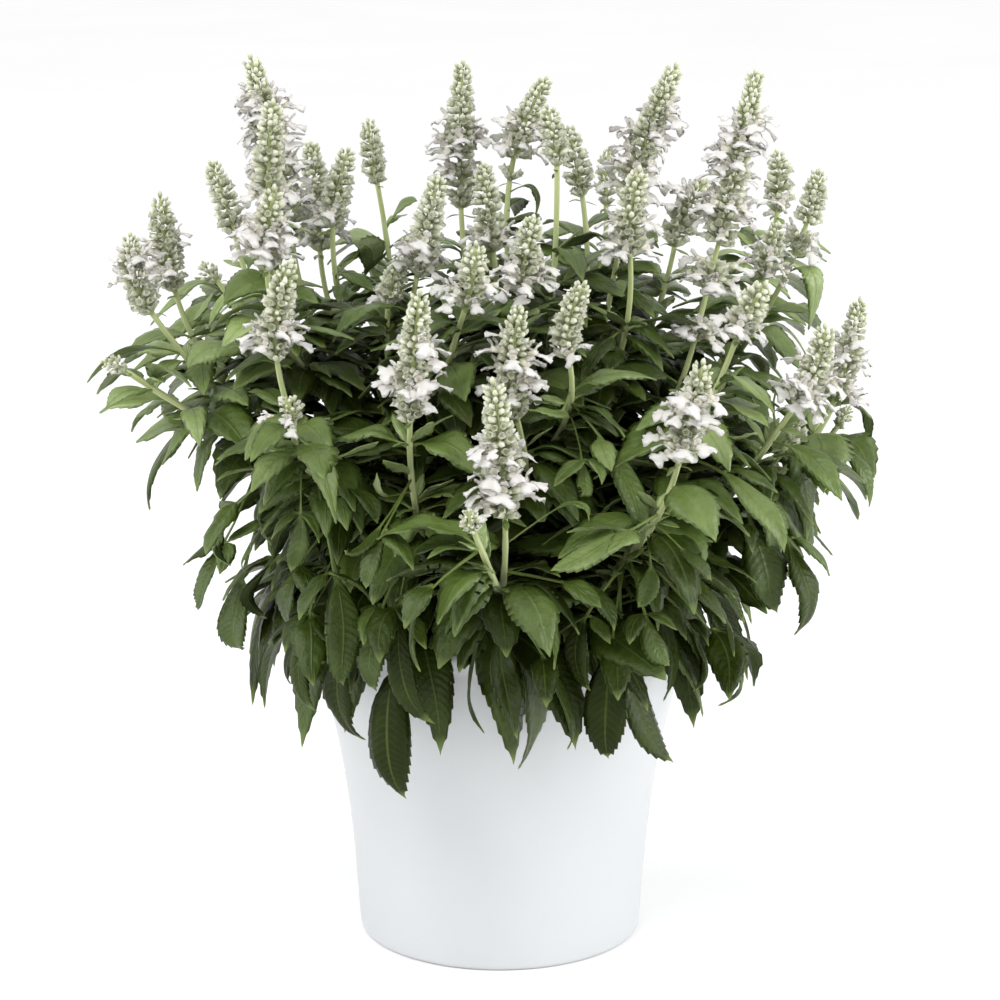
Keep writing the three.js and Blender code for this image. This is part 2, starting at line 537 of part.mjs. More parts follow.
// A fill leaf of an opposite pair; each try turns it, and later tries shorten it
function pairLeaf(shoot, t, k, hand, attempt) {
  const keys = [shoot.number, shoot.index, k, hand, attempt];
  const place = pairPlace(shoot, t, k, hand);
  const { from } = place;
  const along = shoot.stalk.getTangent(t);
  const outward = Math.atan2(from.y, from.x);
  const heading = place.heading + (attempt ? drawBetween(-0.9, 0.9, ...keys, 1) : 0);
  const facing = 0.5 + 0.5 * Math.cos(heading - outward);
  const high = THREE.MathUtils.clamp((from.z - soil.top) / 200, 0, 1);
  const usual = mix(pairs.longLow, pairs.longHigh, high) * (1 - 0.03 * attempt);
  const long = usual * drawBetween(0.82, 1.15, ...keys, 2);
  const lift = mix(0.35, 0.75, high) + drawBetween(-0.25, 0.25, ...keys, 3);
  const droop = mix(-0.5, -1.15, facing) * mix(1, 0.55, high) + drawBetween(-0.35, 0.25, ...keys, 4);
  const ahead = vec(Math.cos(heading), Math.sin(heading), 0);
  const out = ahead.clone().addScaledVector(along, -ahead.dot(along)).normalize();
  const start = from.clone().addScaledVector(out, leaf.inset);
  const reach = (origin, share, angle) => origin.clone()
    .addScaledVector(ahead, share * long * Math.cos(angle))
    .addScaledVector(up, share * long * Math.sin(angle));
  const bend = reach(start, 0.45, lift);
  const tip = reach(bend, 0.6, droop);
  const width = long * pairs.widthShare * 0.5 * drawBetween(0.85, 1.15, ...keys, 5);
  const roll = drawBetween(-0.45, 0.45, ...keys, 6);
  return { ...makeLeaf(start, bend, tip, width, { roll, stalkShare: mix(0.26, 0.14, high) }), shoot };
}

// A skirt leaf rises to clear the rim, then hangs down outside the pot
function skirtLeaf(shoot, k, attempt) {
  const keys = [shoot.number, 77, k, attempt];
  const from = spotOn(shoot.stalk, skirt.low + skirt.step * k);
  const fan = (k / (skirt.perStem - 1) - 0.5) * 2 * skirt.fan * (k % 2 ? 1 : -1);
  const angle = Math.atan2(from.y, from.x) + fan + drawBetween(-0.2, 0.2, ...keys, 1);
  const rim = potRadius(pot.height) + drawBetween(0.5, 1, ...keys, 2) * skirt.rimRoom * 2;
  const overRim = pot.height + drawBetween(0.8, 4, ...keys, 3) * skirt.rimRoom;
  const over = vec(rim * Math.cos(angle), rim * Math.sin(angle), overRim);
  const ahead = over.clone().sub(from).setZ(0).normalize();
  const start = from.clone().addScaledVector(ahead, leaf.inset);
  const hang = skirt.long * drawBetween(0.75, 1.15, ...keys, 4);
  const tip = over.clone().addScaledVector(ahead, hang * drawBetween(0.05, 0.35, ...keys, 5));
  tip.z -= hang;
  const bend = over.clone().addScaledVector(ahead, 6).addScaledVector(up, skirt.rimRoom * 1.4);
  const made = makeLeaf(start, bend, tip, skirt.wide * drawBetween(0.8, 1.2, ...keys, 6), {
    roll: drawBetween(-0.3, 0.3, ...keys, 7), fold: 0.2,
  });
  return { ...made, stalkShare: Math.min(0.42, over.distanceTo(start) * 0.7 / made.length), shoot };
}

// Spikes: a core of staggered triangles, each raised into a calyx or, where open, into a flared flower
function spikeSolid(shoot) {
  const { axis, width, open, bare = [], number, index } = shoot;
  const length = axis.getLength();
  const rows = Math.max(3, Math.round(length / spike.rowEvery));
  const isBare = (s) => bare.some((edge, i) => i % 2 === 0 && s > edge && s < bare[i + 1]);
  const swell = (s) => (isBare(s) ? 0.25 : Math.min(1, 0.62 + 3 * s) * (1 - s ** 2.2 * 0.72));
  const at = (s, angle, radius, forward = 0) => {
    const point = axis.getPoint(Math.min(s, 1));
    const along = axis.getTangent(Math.min(s, 1));
    const across = vec(1, 0, 0).addScaledVector(along, -along.x).normalize();
    const other = along.clone().cross(across);
    return point.addScaledVector(across, radius * Math.cos(angle))
      .addScaledVector(other, radius * Math.sin(angle)).addScaledVector(along, forward);
  };
  const points = [];
  const place = [];
  const step = (2 * Math.PI) / spike.columns;
  const put = (s, angle, radius) => {
    place.push({ s, angle });
    return points.push(at(s, angle, radius)) - 1;
  };
  for (let row = 0; row <= rows; row++) {
    const s = (row / rows) * 0.95;
    const radius = width * spike.core * swell(s);
    for (let c = 0; c < spike.columns; c++) put(s, (c + 0.5 * (row % 2)) * step, radius);
  }
  const faces = [];
  const raise = (a, b, c, key) => {
    const corners = [place[a], place[b], place[c]];
    const s = corners.reduce((sum, p) => sum + p.s, 0) / 3;
    const first = corners[0].angle;
    const angle = corners.reduce((sum, p) => {
      const gap = p.angle - first;
      return sum + first + gap - 2 * Math.PI * Math.round(gap / (2 * Math.PI));
    }, 0) / 3;
    if (isBare(s)) {
      faces.push([a, b, c]);
      return;
    }
    const flowering = s > open[0] && s < open[1] && draw(number, index, key, 3) < 0.34;
    if (!flowering) {
      const reach = width * swell(s) * drawBetween(0.95, 1.12, number, index, key, 4);
      const apex = points.push(at(s, angle, reach, 1.5)) - 1;
      faces.push([a, b, apex], [b, c, apex], [c, a, apex]);
      return;
    }
    const ring = (radius, half, tall, forward) => [a, b, c].map((corner) => {
      const away = ((place[corner].angle - angle + 3 * Math.PI) % (2 * Math.PI)) - Math.PI;
      const turn = Math.abs(away) < 0.05 ? 0 : Math.sign(away);
      const level = Math.sign(place[corner].s - s);
      return points.push(at(s, angle + (turn * half) / radius, radius, forward + level * tall)) - 1;
    });
    const neck = ring(width * 0.98, 1.6, 1.3, 1.5);
    const lip = ring(spike.corolla * drawBetween(0.78, 1, number, index, key, 6), 4.2, 1.5, 2);
    [[[a, b, c], neck], [neck, lip]].forEach(([low, high]) => {
      for (let k = 0; k < 3; k++) {
        const m = (k + 1) % 3;
        faces.push([low[k], low[m], high[k]], [low[m], high[m], high[k]]);
      }
    });
    faces.push(lip);
  };
  for (let row = 0; row < rows; row++) {
    for (let c = 0; c < spike.columns; c++) {
      const n = (c + 1) % spike.columns;
      const low = row * spike.columns;
      const high = low + spike.columns;
      if (row % 2) {
        raise(low + c, low + n, high + n, 2 * c + row * 40);
        raise(low + c, high + n, high + c, 2 * c + 1 + row * 40);
      } else {
        raise(low + c, low + n, high + c, 2 * c + row * 40);
        raise(low + n, high + n, high + c, 2 * c + 1 + row * 40);
      }
    }
  }
  const foot = points.push(at(0, 0, 0)) - 1;
  const crown = points.push(at(1, 0, 0, 1)) - 1;
  for (let c = 0; c < spike.columns; c++) {
    const n = (c + 1) % spike.columns;
    faces.push([foot, n, c], [rows * spike.columns + c, rows * spike.columns + n, crown]);
  }
  return solidOf(points, faces);
}

// Growing: everything already placed keeps its clearance from what comes next
const placed = [];
const boxOf = (solid) => solid.boundingBox();
const apart = (a, b, room) => [0, 1, 2].some((k) => a.min[k] > b.max[k] + room || b.min[k] > a.max[k] + room);

function isClear(solid, skip) {
  const box = boxOf(solid);
  return placed.every((other) => other.owner === skip || apart(box, other.box, leaf.clearance)
    || solid.minGap(other.solid, leaf.clearance) >= leaf.clearance * 0.99);
}
const keep = (solid, owner) => placed.push({ solid, owner, box: boxOf(solid) });

function paint(colour, roughness) {
  return new THREE.MeshStandardMaterial({ color: colour, roughness, metalness: 0 });
}

const finishes = {
  pot: paint(0xe9edf1, 0.45),
  soil: paint(0x33261c, 0.95),
  foliage: paint(0x41602a, 0.6),
  flower: paint(0xdde2cf, 0.85),
};

const sage = new THREE.Group();
const potBody = potSolid();
const soilBody = soilSolid(stems.map((plan) => plan.root));
keep(potBody, "pot");
keep(soilBody, "soil");
sage.add(meshOf("pot", potBody, finishes.pot), meshOf("soil", soilBody, finishes.soil));

const shoots = stems.flatMap((plan, number) => shootsOf(plan, number));
shoots.forEach((shoot) => {
  shoot.solids = [stalkSolid(shoot)];
  keep(shoot.solids[0], shoot);
  if (!shoot.axis) return;
  const flowers = spikeSolid(shoot);
  keep(flowers, shoot.name);
  sage.add(meshOf("spike_" + shoot.name, flowers, finishes.flower));
});

// A leaf takes the first of its tries that is clear of everything, or is left out
function grow(candidate, tries) {
  for (let attempt = 0; attempt < tries; attempt++) {
    const one = candidate(attempt);
    const solid = leafSolid(one);
    if (isClear(solid, one.shoot)) {
      one.shoot.solids.push(solid);
      keep(solid, one);
      return;
    }
  }
}

shownLeaves.forEach((data) => grow((attempt) => shownLeaf(data, shoots, attempt), depthShifts.length));

shoots.filter((shoot) => shoot.root && Math.hypot(...shoot.root) > skirt.outerRoot).forEach((shoot) => {
  for (let k = 0; k < skirt.perStem; k++) {
    grow((attempt) => skirtLeaf(shoot, k, attempt), skirt.tries);
  }
});
shoots.forEach((shoot) => {
  const long = shoot.stalk.getLength();
  for (let k = 0; pairs.first + k * pairs.every < long * pairs.last; k++) {
    for (const hand of [0, 1]) {
      const t = (pairs.first + (k + 0.03 * hand) * pairs.every) / long;
      const { from, heading } = pairPlace(shoot, t, k, hand);
      const facing = 0.5 + 0.5 * Math.cos(heading - Math.atan2(from.y, from.x));
      if (facing < 0.45 && draw(shoot.number, shoot.index, k, hand, 9) > pairs.keptInside) continue;
      grow((attempt) => pairLeaf(shoot, t, k, hand, attempt), pairs.tries);
    }
  }
});

stems.forEach((plan, number) => {
  const solids = shoots.filter((shoot) => shoot.number === number).flatMap((shoot) => shoot.solids);
  sage.add(meshOf("stem_" + plan.name, wasm.Manifold.union(solids).simplify(0.05), finishes.foliage));
});

export default sage;
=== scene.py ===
import math
import bpy
import numpy as np
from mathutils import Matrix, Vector, kdtree


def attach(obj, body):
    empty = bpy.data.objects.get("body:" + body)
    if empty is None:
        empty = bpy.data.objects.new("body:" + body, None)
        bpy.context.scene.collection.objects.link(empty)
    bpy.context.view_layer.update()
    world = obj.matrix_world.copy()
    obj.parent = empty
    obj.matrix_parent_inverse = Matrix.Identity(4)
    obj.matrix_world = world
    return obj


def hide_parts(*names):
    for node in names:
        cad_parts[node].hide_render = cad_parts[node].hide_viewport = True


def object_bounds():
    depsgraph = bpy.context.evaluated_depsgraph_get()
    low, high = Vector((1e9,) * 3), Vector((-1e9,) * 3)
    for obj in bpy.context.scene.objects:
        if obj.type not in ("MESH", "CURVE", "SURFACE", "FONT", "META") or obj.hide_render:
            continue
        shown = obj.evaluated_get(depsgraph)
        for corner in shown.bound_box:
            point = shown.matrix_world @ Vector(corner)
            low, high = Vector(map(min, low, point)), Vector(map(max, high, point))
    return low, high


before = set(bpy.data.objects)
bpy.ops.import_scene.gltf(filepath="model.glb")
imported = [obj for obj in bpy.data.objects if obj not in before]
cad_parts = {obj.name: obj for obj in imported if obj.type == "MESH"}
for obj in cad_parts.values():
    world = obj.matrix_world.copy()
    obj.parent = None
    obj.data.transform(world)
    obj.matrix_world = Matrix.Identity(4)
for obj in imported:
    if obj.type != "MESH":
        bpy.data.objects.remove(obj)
cadLow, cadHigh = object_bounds()
mm = 0.001

# The eye that sees the plant from the front, and how far the plant spreads towards it
view = {"distance": 1660, "height": 637, "tilt": 13.7, "focal": 3278, "centre": 500}
clump = {"depth": 1.28, "skirt": 1.06}
seed = 20417

# Each stem: its name, where it roots, and its shoots. Each shoot, in the order of shootKeys: its name; the picture
# points of its spike's tip, its spike's foot and the knee of its stalk; depth; spike width; where along the spike
# flowers are open; where a side shoot leaves the main one; and the spike's bare stretches.
shootKeys = ("name", "tip", "foot", "knee", "depth", "width", "open", "from", "bare")
stemTable = [
    ("far_left", (-62, -5), [
        ("a", (160, 196), (175, 291), (190, 345), 20, 9, (0.1, 0.62)),
        ("b", (130, 236), (151, 312), (181, 354), -25, 8.5, (0.5, 0.8), 0.55),
        ("m", (103, 362), (126, 371), (153, 389), -45, 5.5, (0, 0), 0.45),
        ("k", (203, 266), (217, 281), (228, 294), 55, 6, (0, 0), 0.6),
    ]),
    ("back_left", (-45, 38), [
        ("d", (250, 56), (293, 246), (297, 275), 35, 9.5, (0.12, 0.85)),
        ("c", (211, 165), (235, 235), (246, 288), 85, 9, (0, 0.15), 0.4),
    ]),
    ("left", (-38, 0), [
        ("e", (273, 104), (268, 203), (268, 240), 0, 9.5, (0, 0.4)),
        ("f", (274, 190), (267, 268), (268, 303), -40, 9.5, (0.1, 0.7), 0.5),
    ]),
    ("front_left", (-48, -38), [
        ("g", (289, 265), (277, 360), (285, 421), -75, 9.5, (0.05, 0.5)),
        ("n", (284, 399), (294, 420), (293, 439), -98, 6, (0, 0.5), 0.55),
    ]),
    ("back_mid_left", (-22, 50), [
        ("h", (311, 145), (320, 250), (322, 285), 75, 9.5, (0.05, 0.6)),
        ("i", (348, 151), (333, 226), (331, 271), 30, 8.5, (0, 0.3), 0.45),
        ("j", (368, 121), (377, 182), (389, 245), 105, 7.5, (0, 0), 0.35),
    ]),
    ("front_mid_left", (-30, -54), [
        ("o", (420, 294), (410, 421), (407, 510), -95, 9.5, (0.2, 0.7)),
        ("p", (402, 262), (388, 305), (386, 330), -15, 8, (0, 0.1), 0.35),
    ]),
    ("mid_left", (-14, -20), [
        ("q", (438, 180), (417, 276), (411, 303), -15, 9.5, (0, 0.45)),
        ("t", (476, 246), (466, 306), (458, 330), -68, 8.5, (0, 0.6), 0.5),
    ]),
    ("back_middle", (2, 44), [
        ("r", (463, 64), (461, 208), (463, 250), 80, 9.5, (0.2, 0.65)),
        ("s", (484, 167), (493, 250), (497, 275), 30, 9, (0, 0.2), 0.5),
    ]),
    ("middle", (14, 10), [
        ("v", (547, 108), (557, 165), (558, 290), 0, 8, (0, 0)),
        ("u", (546, 80), (510, 178), (504, 222), 65, 9, (0.3, 0.6), 0.4, (0.08, 0.22)),
    ]),
    ("front_middle", (16, -38), [
        ("x", (533, 220), (521, 294), (519, 325), -32, 9.5, (0, 0.5)),
        ("y", (520, 310), (517, 418), (530, 470), -82, 9, (0.2, 0.75), 0.35),
        ("z", (584, 285), (568, 356), (582, 410), -72, 8.5, (0, 0.1), 0.45),
    ]),
    ("front", (-2, -72), [
        ("front", (493, 383), (505, 515), (507, 590), -116, 10.5, (0.05, 0.62)),
        ("front_bud", (469, 511), (474, 532), (484, 556), -140, 5.5, (0, 0), 0.45),
    ]),
    ("back_mid_right", (26, 58), [
        ("w", (569, 130), (582, 195), (590, 247), 65, 8.5, (0, 0)),
        ("back_bud", (609, 150), (606, 204), (607, 240), 112, 6.5, (0, 0), 0.45),
    ]),
    ("right", (38, 22), [
        ("tall_right", (676, 66), (628, 205), (620, 245), 42, 10, (0.1, 0.75)),
        ("near_right", (639, 171), (630, 256), (635, 330), -25, 9.5, (0, 0.45), 0.4),
        ("grey_right", (705, 183), (675, 244), (668, 280), 98, 10.5, (0.5, 0.75), 0.3),
    ]),
    ("mid_right", (46, -12), [
        ("tallest_right", (756, 71), (694, 342), (684, 380), -8, 9.5, (0, 0.85), None, (0.1, 0.2, 0.33, 0.4)),
        ("behind_right", (777, 227), (762, 277), (752, 312), 40, 8.5, (0, 0.6), 0.45),
    ]),
    ("back_right", (62, 38), [
        ("back_right", (777, 154), (778, 210), (772, 245), 100, 9.5, (0, 0.1)),
        ("right_edge", (819, 173), (797, 250), (768, 320), 48, 8.5, (0, 0.2), 0.4, (0.2, 0.34)),
    ]),
    ("front_right", (44, -50), [
        ("low_right", (703, 364), (679, 462), (660, 535), -106, 9.5, (0, 0.75)),
        ("white_right", (764, 286), (737, 337), (719, 387), -52, 10, (0, 0.3), 0.5),
    ]),
    ("far_right", (70, -2), [
        ("outer_right", (860, 301), (836, 396), (820, 446), 5, 8.5, (0, 0.7)),
        ("inner_right", (825, 328), (796, 405), (761, 454), -58, 9, (0, 0.6), 0.4),
        ("small_right", (797, 416), (790, 440), (782, 452), -22, 6.5, (0, 0), 0.5),
        ("tiny_right", (849, 408), (838, 426), (828, 440), 26, 5, (0, 0), 0.6),
    ]),
]
stemPlans = [{"name": name, "root": root, "shoots": [dict(zip(shootKeys, row)) for row in rows]}
             for name, root, rows in stemTable]

# Each leaf seen from the front: the picture points of its foot, middle and tip, width in picture points, depth at the
# foot and at the tip, and roll
shownLeaves = [
    ((178, 358), (130, 350), (87, 383), 26, (-25, -38), 0.5),
    ((152, 395), (128, 391), (106, 408), 26, (-45, -58), -0.3),
    ((212, 408), (186, 401), (157, 418), 22, (-10, -30), 0.4),
    ((212, 421), (165, 447), (150, 510), 38, (0, 8), -0.5),
    ((183, 363), (166, 368), (155, 394), 28, (-30, -48), -0.4),
    ((256, 351), (222, 347), (188, 368), 40, (-20, -42), -0.3),
    ((262, 338), (225, 328), (188, 338), 22, (0, -10), 0.4),
    ((184, 335), (188, 318), (212, 298), 22, (10, 30), 0.4),
    ((225, 293), (193, 286), (150, 326), 26, (48, 40), 0),
    ((268, 294), (237, 290), (209, 328), 28, (12, 0), -0.2),
    ((312, 284), (345, 274), (378, 293), 22, (10, 0), 0.2),
    ((236, 484), (222, 520), (230, 565), 40, (-55, -62), 0),
    ((240, 572), (237, 602), (243, 648), 36, (-35, -42), 0),
    ((279, 480), (247, 470), (217, 481), 20, (-80, -92), 0.3),
    ((296, 447), (322, 468), (336, 524), 36, (-98, -112), 0),
    ((299, 502), (297, 532), (291, 571), 22, (-102, -110), 0),
    ((400, 535), (378, 548), (366, 588), 24, (-118, -128), 0),
    ((236, 540), (215, 568), (196, 607), 28, (-25, -32), 0),
    ((325, 560), (334, 612), (343, 684), 46, (-112, -120), 0),
    ((310, 600), (303, 645), (316, 711), 22, (-96, -100), 0),
    ((300, 590), (300, 635), (290, 683), 24, (-84, -88), 0),
    ((350, 600), (343, 672), (364, 739), 46, (-106, -110), 0),
    ((386, 640), (388, 712), (405, 797), 52, (-116, -118), 0.1),
    ((388, 580), (395, 655), (434, 723), 30, (-124, -126), 0),
    ((413, 558), (417, 610), (420, 671), 40, (-130, -136), 0),
    ((470, 600), (470, 672), (484, 733), 26, (-112, -112), 0),
    ((503, 622), (506, 680), (517, 738), 40, (-126, -130), 0),
    ((528, 640), (530, 702), (519, 768), 48, (-114, -116), 0),
    ((515, 600), (543, 618), (554, 670), 32, (-126, -138), 0),
    ((545, 640), (561, 692), (568, 748), 30, (-114, -116), 0),
    ((616, 632), (607, 690), (608, 757), 48, (-112, -118), 0),
    ((642, 638), (638, 695), (672, 761), 40, (-100, -104), 0.3),
    ((630, 618), (650, 632), (669, 665), 28, (-118, -126), 0),
    ((675, 575), (707, 598), (734, 656), 48, (-102, -108), 0),
    ((733, 605), (729, 655), (720, 705), 34, (-80, -86), 0),
    ((785, 530), (806, 570), (795, 634), 40, (-52, -60), 0),
    ((710, 468), (755, 493), (784, 552), 34, (-78, -98), 0),
    ((826, 450), (862, 462), (869, 507), 20, (-10, -20), 0.3),
    ((765, 448), (812, 460), (842, 501), 30, (-62, -80), 0.3),
    ((838, 388), (862, 408), (868, 450), 20, (12, 18), 0.3),
    ((787, 280), (815, 274), (808, 331), 30, (45, 40), 0.3),
    ((775, 452), (804, 482), (806, 541), 38, (-25, -35), 0),
    ((640, 543), (598, 546), (552, 570), 44, (-112, -136), 0),
    ((557, 566), (588, 592), (614, 630), 40, (-118, -134), 0),
    ((628, 405), (622, 478), (642, 546), 38, (-70, -98), 0),
    ((505, 588), (483, 583), (459, 602), 26, (-126, -146), 0.2),
    ((515, 581), (538, 567), (560, 577), 24, (-122, -138), -0.2),
    ((475, 549), (452, 548), (427, 559), 18, (-128, -142), 0.2),
    ((545, 513), (568, 506), (589, 521), 18, (-92, -108), 0),
    ((597, 461), (588, 475), (580, 496), 18, (-86, -98), 0),
    ((577, 422), (554, 410), (529, 410), 28, (-78, -88), -0.3),
    ((630, 349), (600, 348), (581, 384), 28, (-28, -50), 0.3),
    ((652, 562), (648, 580), (638, 607), 24, (-118, -128), 0),
    ((669, 555), (690, 554), (711, 580), 22, (-116, -132), 0),
    ((632, 262), (595, 254), (562, 283), 30, (15, 0), 0.2),
    ((508, 182), (535, 188), (535, 217), 16, (66, 62), 0.2),
    ((386, 290), (368, 262), (352, 243), 32, (60, 48), 0.2),
    ((388, 226), (402, 206), (417, 201), 22, (104, 100), 0.2),
    ((403, 322), (366, 308), (333, 342), 38, (-22, -44), 0),
    ((331, 471), (352, 452), (378, 442), 22, (-88, -100), 0),
    ((335, 486), (360, 496), (377, 523), 26, (-96, -112), 0),
    ((396, 515), (384, 495), (377, 473), 18, (-104, -112), 0),
    ((728, 411), (748, 410), (768, 427), 18, (-58, -74), 0),
    ((718, 448), (738, 436), (757, 434), 22, (-74, -90), 0),
    ((752, 385), (775, 390), (797, 410), 26, (-20, -34), 0),
]

# small helpers

def vec(x, y, z):
    return np.array((x, y, z), float)


def unit(v):
    return v / max(float(np.linalg.norm(v)), 1e-9)


def mix(a, b, t):
    return a + (b - a) * t


def smooth(low, high, x):
    t = min(1.0, max(0.0, (x - low) / (high - low)))
    return t * t * (3 - 2 * t)


def draw(*keys):  # a seeded draw from 0 to 1 that depends only on its keys
    h = seed
    for key in keys:
        h = ((h ^ ((key + 0x9e3779b9) & 0xffffffff)) * 0x85ebca6b) & 0xffffffff
        h ^= h >> 13
        h = (h * 0xc2b2ae35) & 0xffffffff
        h ^= h >> 16
    return h / 4294967296


def drawBetween(low, high, *keys):
    return low + (high - low) * draw(*keys)


def fromPhoto(at, depth):  # the place at a given depth that is seen at a picture point
    tilt = math.radians(view["tilt"])
    across = (at[0] - view["centre"]) / view["focal"]
    above = (view["centre"] - at[1]) / view["focal"]
    ray = vec(across, math.cos(tilt) + above * math.sin(tilt), above * math.cos(tilt) - math.sin(tilt))
    return vec(0, -view["distance"], view["height"]) + ray * (depth + view["distance"]) / ray[1]


def toPhoto(points):  # picture points of places, the way that fromPhoto goes back
    tilt = math.radians(view["tilt"])
    away = points - vec(0, -view["distance"], view["height"])
    deep = away[:, 1] * math.cos(tilt) - away[:, 2] * math.sin(tilt)
    above = away[:, 1] * math.sin(tilt) + away[:, 2] * math.cos(tilt)
    return view["centre"] + view["focal"] * np.stack([away[:, 0], -above], -1) / deep[:, None]


def curvePoint(c, t):
    u = 1 - t
    if len(c) == 3:
        return u * u * c[0] + 2 * u * t * c[1] + t * t * c[2]
    return u ** 3 * c[0] + 3 * u * u * t * c[1] + 3 * u * t * t * c[2] + t ** 3 * c[3]


def curveSlope(c, t):
    u = 1 - t
    if len(c) == 3:
        return u * (c[1] - c[0]) + t * (c[2] - c[1])
    return u * u * (c[1] - c[0]) + 2 * u * t * (c[2] - c[1]) + t * t * (c[3] - c[2])


def curveWay(c, t):
    return unit(curveSlope(c, t))


def curveRun(c, t):  # points and ways at many places of a curve at once
    t = np.asarray(t, float)[:, None]
    slopes = curveSlope(c, t)
    return curvePoint(c, t), slopes / np.linalg.norm(slopes, axis=1)[:, None]


def framesOf(ways):  # two directions square to each way
    across = vec(1, 0, 0) - ways * ways[:, :1]
    across /= np.linalg.norm(across, axis=1)[:, None]
    return across, np.cross(ways, across)


def ringsAlong(points, ways, radius, angles):
    across, other = framesOf(ways)
    return (points[:, None] + across[:, None] * (radius * np.cos(angles))[..., None]
            + other[:, None] * (radius * np.sin(angles))[..., None])


def curveLength(c):
    points = curvePoint(c, np.arange(201)[:, None] / 200)
    return float(np.linalg.norm(np.diff(points, axis=0), axis=1).sum())


class Heap:  # gathers one piece's mesh: points, faces, finishes and what the finishes read
    def __init__(self):
        self.points, self.uvs, self.marks, self.faces, self.finishes, self.count = [], [], [], [], [], 0

    def add(self, points, uvs=(0, 0), marks=(0, 0, 0)):
        points = np.asarray(points, float).reshape(-1, 3)
        for kept, values, size in ((self.points, points, 3), (self.uvs, uvs, 2), (self.marks, marks, 3)):
            kept.append(np.broadcast_to(np.asarray(values, float).reshape(-1, size), (len(points), size)))
        self.count += len(points)
        return self.count - len(points)

    def face(self, faces, finish):
        faces = np.asarray(faces).tolist()
        self.faces += faces
        self.finishes += [finish] * len(faces)

    def loft(self, rings, finish, uvs=(0, 0), marks=(0, 0, 0), first=None, last=None):
        # closed rings of the same count, (rows, count, 3), with both ends drawn in to a point
        rows, count = rings.shape[:2]
        uvs, marks = np.broadcast_to(uvs, (rows, count, 2)), np.broadcast_to(marks, (rows, count, 3))
        grid = self.add(rings, uvs, marks) + np.arange(rows * count).reshape(rows, count)
        turn = np.roll(grid, -1, axis=1)
        self.face(np.stack([grid[:-1], turn[:-1], turn[1:], grid[1:]], -1).reshape(-1, 4), finish)
        for end, row, way in ((first, 0, 1), (last, -1, -1)):
            tip = self.add(rings[row].mean(0) if end is None else end, (0.5, uvs[row, 0, 1]), marks[row, 0])
            self.face(np.stack([turn[row], grid[row], np.full(count, tip)], -1)[:, ::way], finish)


def addObject(name, data):
    made = bpy.data.objects.new(name, data)
    bpy.context.scene.collection.objects.link(made)
    return made


def triangles(heap):
    return sum(len(f) - 2 for f in heap.faces)


def makePiece(name, heap, materials, nodes=(), flat=False):
    mesh = bpy.data.meshes.new(name)
    mesh.from_pydata((np.concatenate(heap.points) * mm).tolist(), [], heap.faces)
    mesh.polygons.foreach_set("material_index", heap.finishes)
    mesh.polygons.foreach_set("use_smooth", [not flat] * len(heap.faces))
    corners = np.zeros(len(mesh.loops), np.int32)
    mesh.loops.foreach_get("vertex_index", corners)
    layer = mesh.uv_layers.new(name="UVMap")
    layer.data.foreach_set("uv", np.concatenate(heap.uvs).astype(np.float32)[corners].ravel())
    marks = np.concatenate(heap.marks)
    colours = mesh.attributes.new("marks", "FLOAT_COLOR", "POINT")
    colours.data.foreach_set("color", np.hstack([marks, np.ones((len(marks), 1))]).astype(np.float32).ravel())
    for material in materials:
        mesh.materials.append(material)
    mesh.update()
    piece = addObject(name, mesh)
    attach(piece, "root")
    if nodes:
        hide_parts(*nodes)
    return piece


# finishes

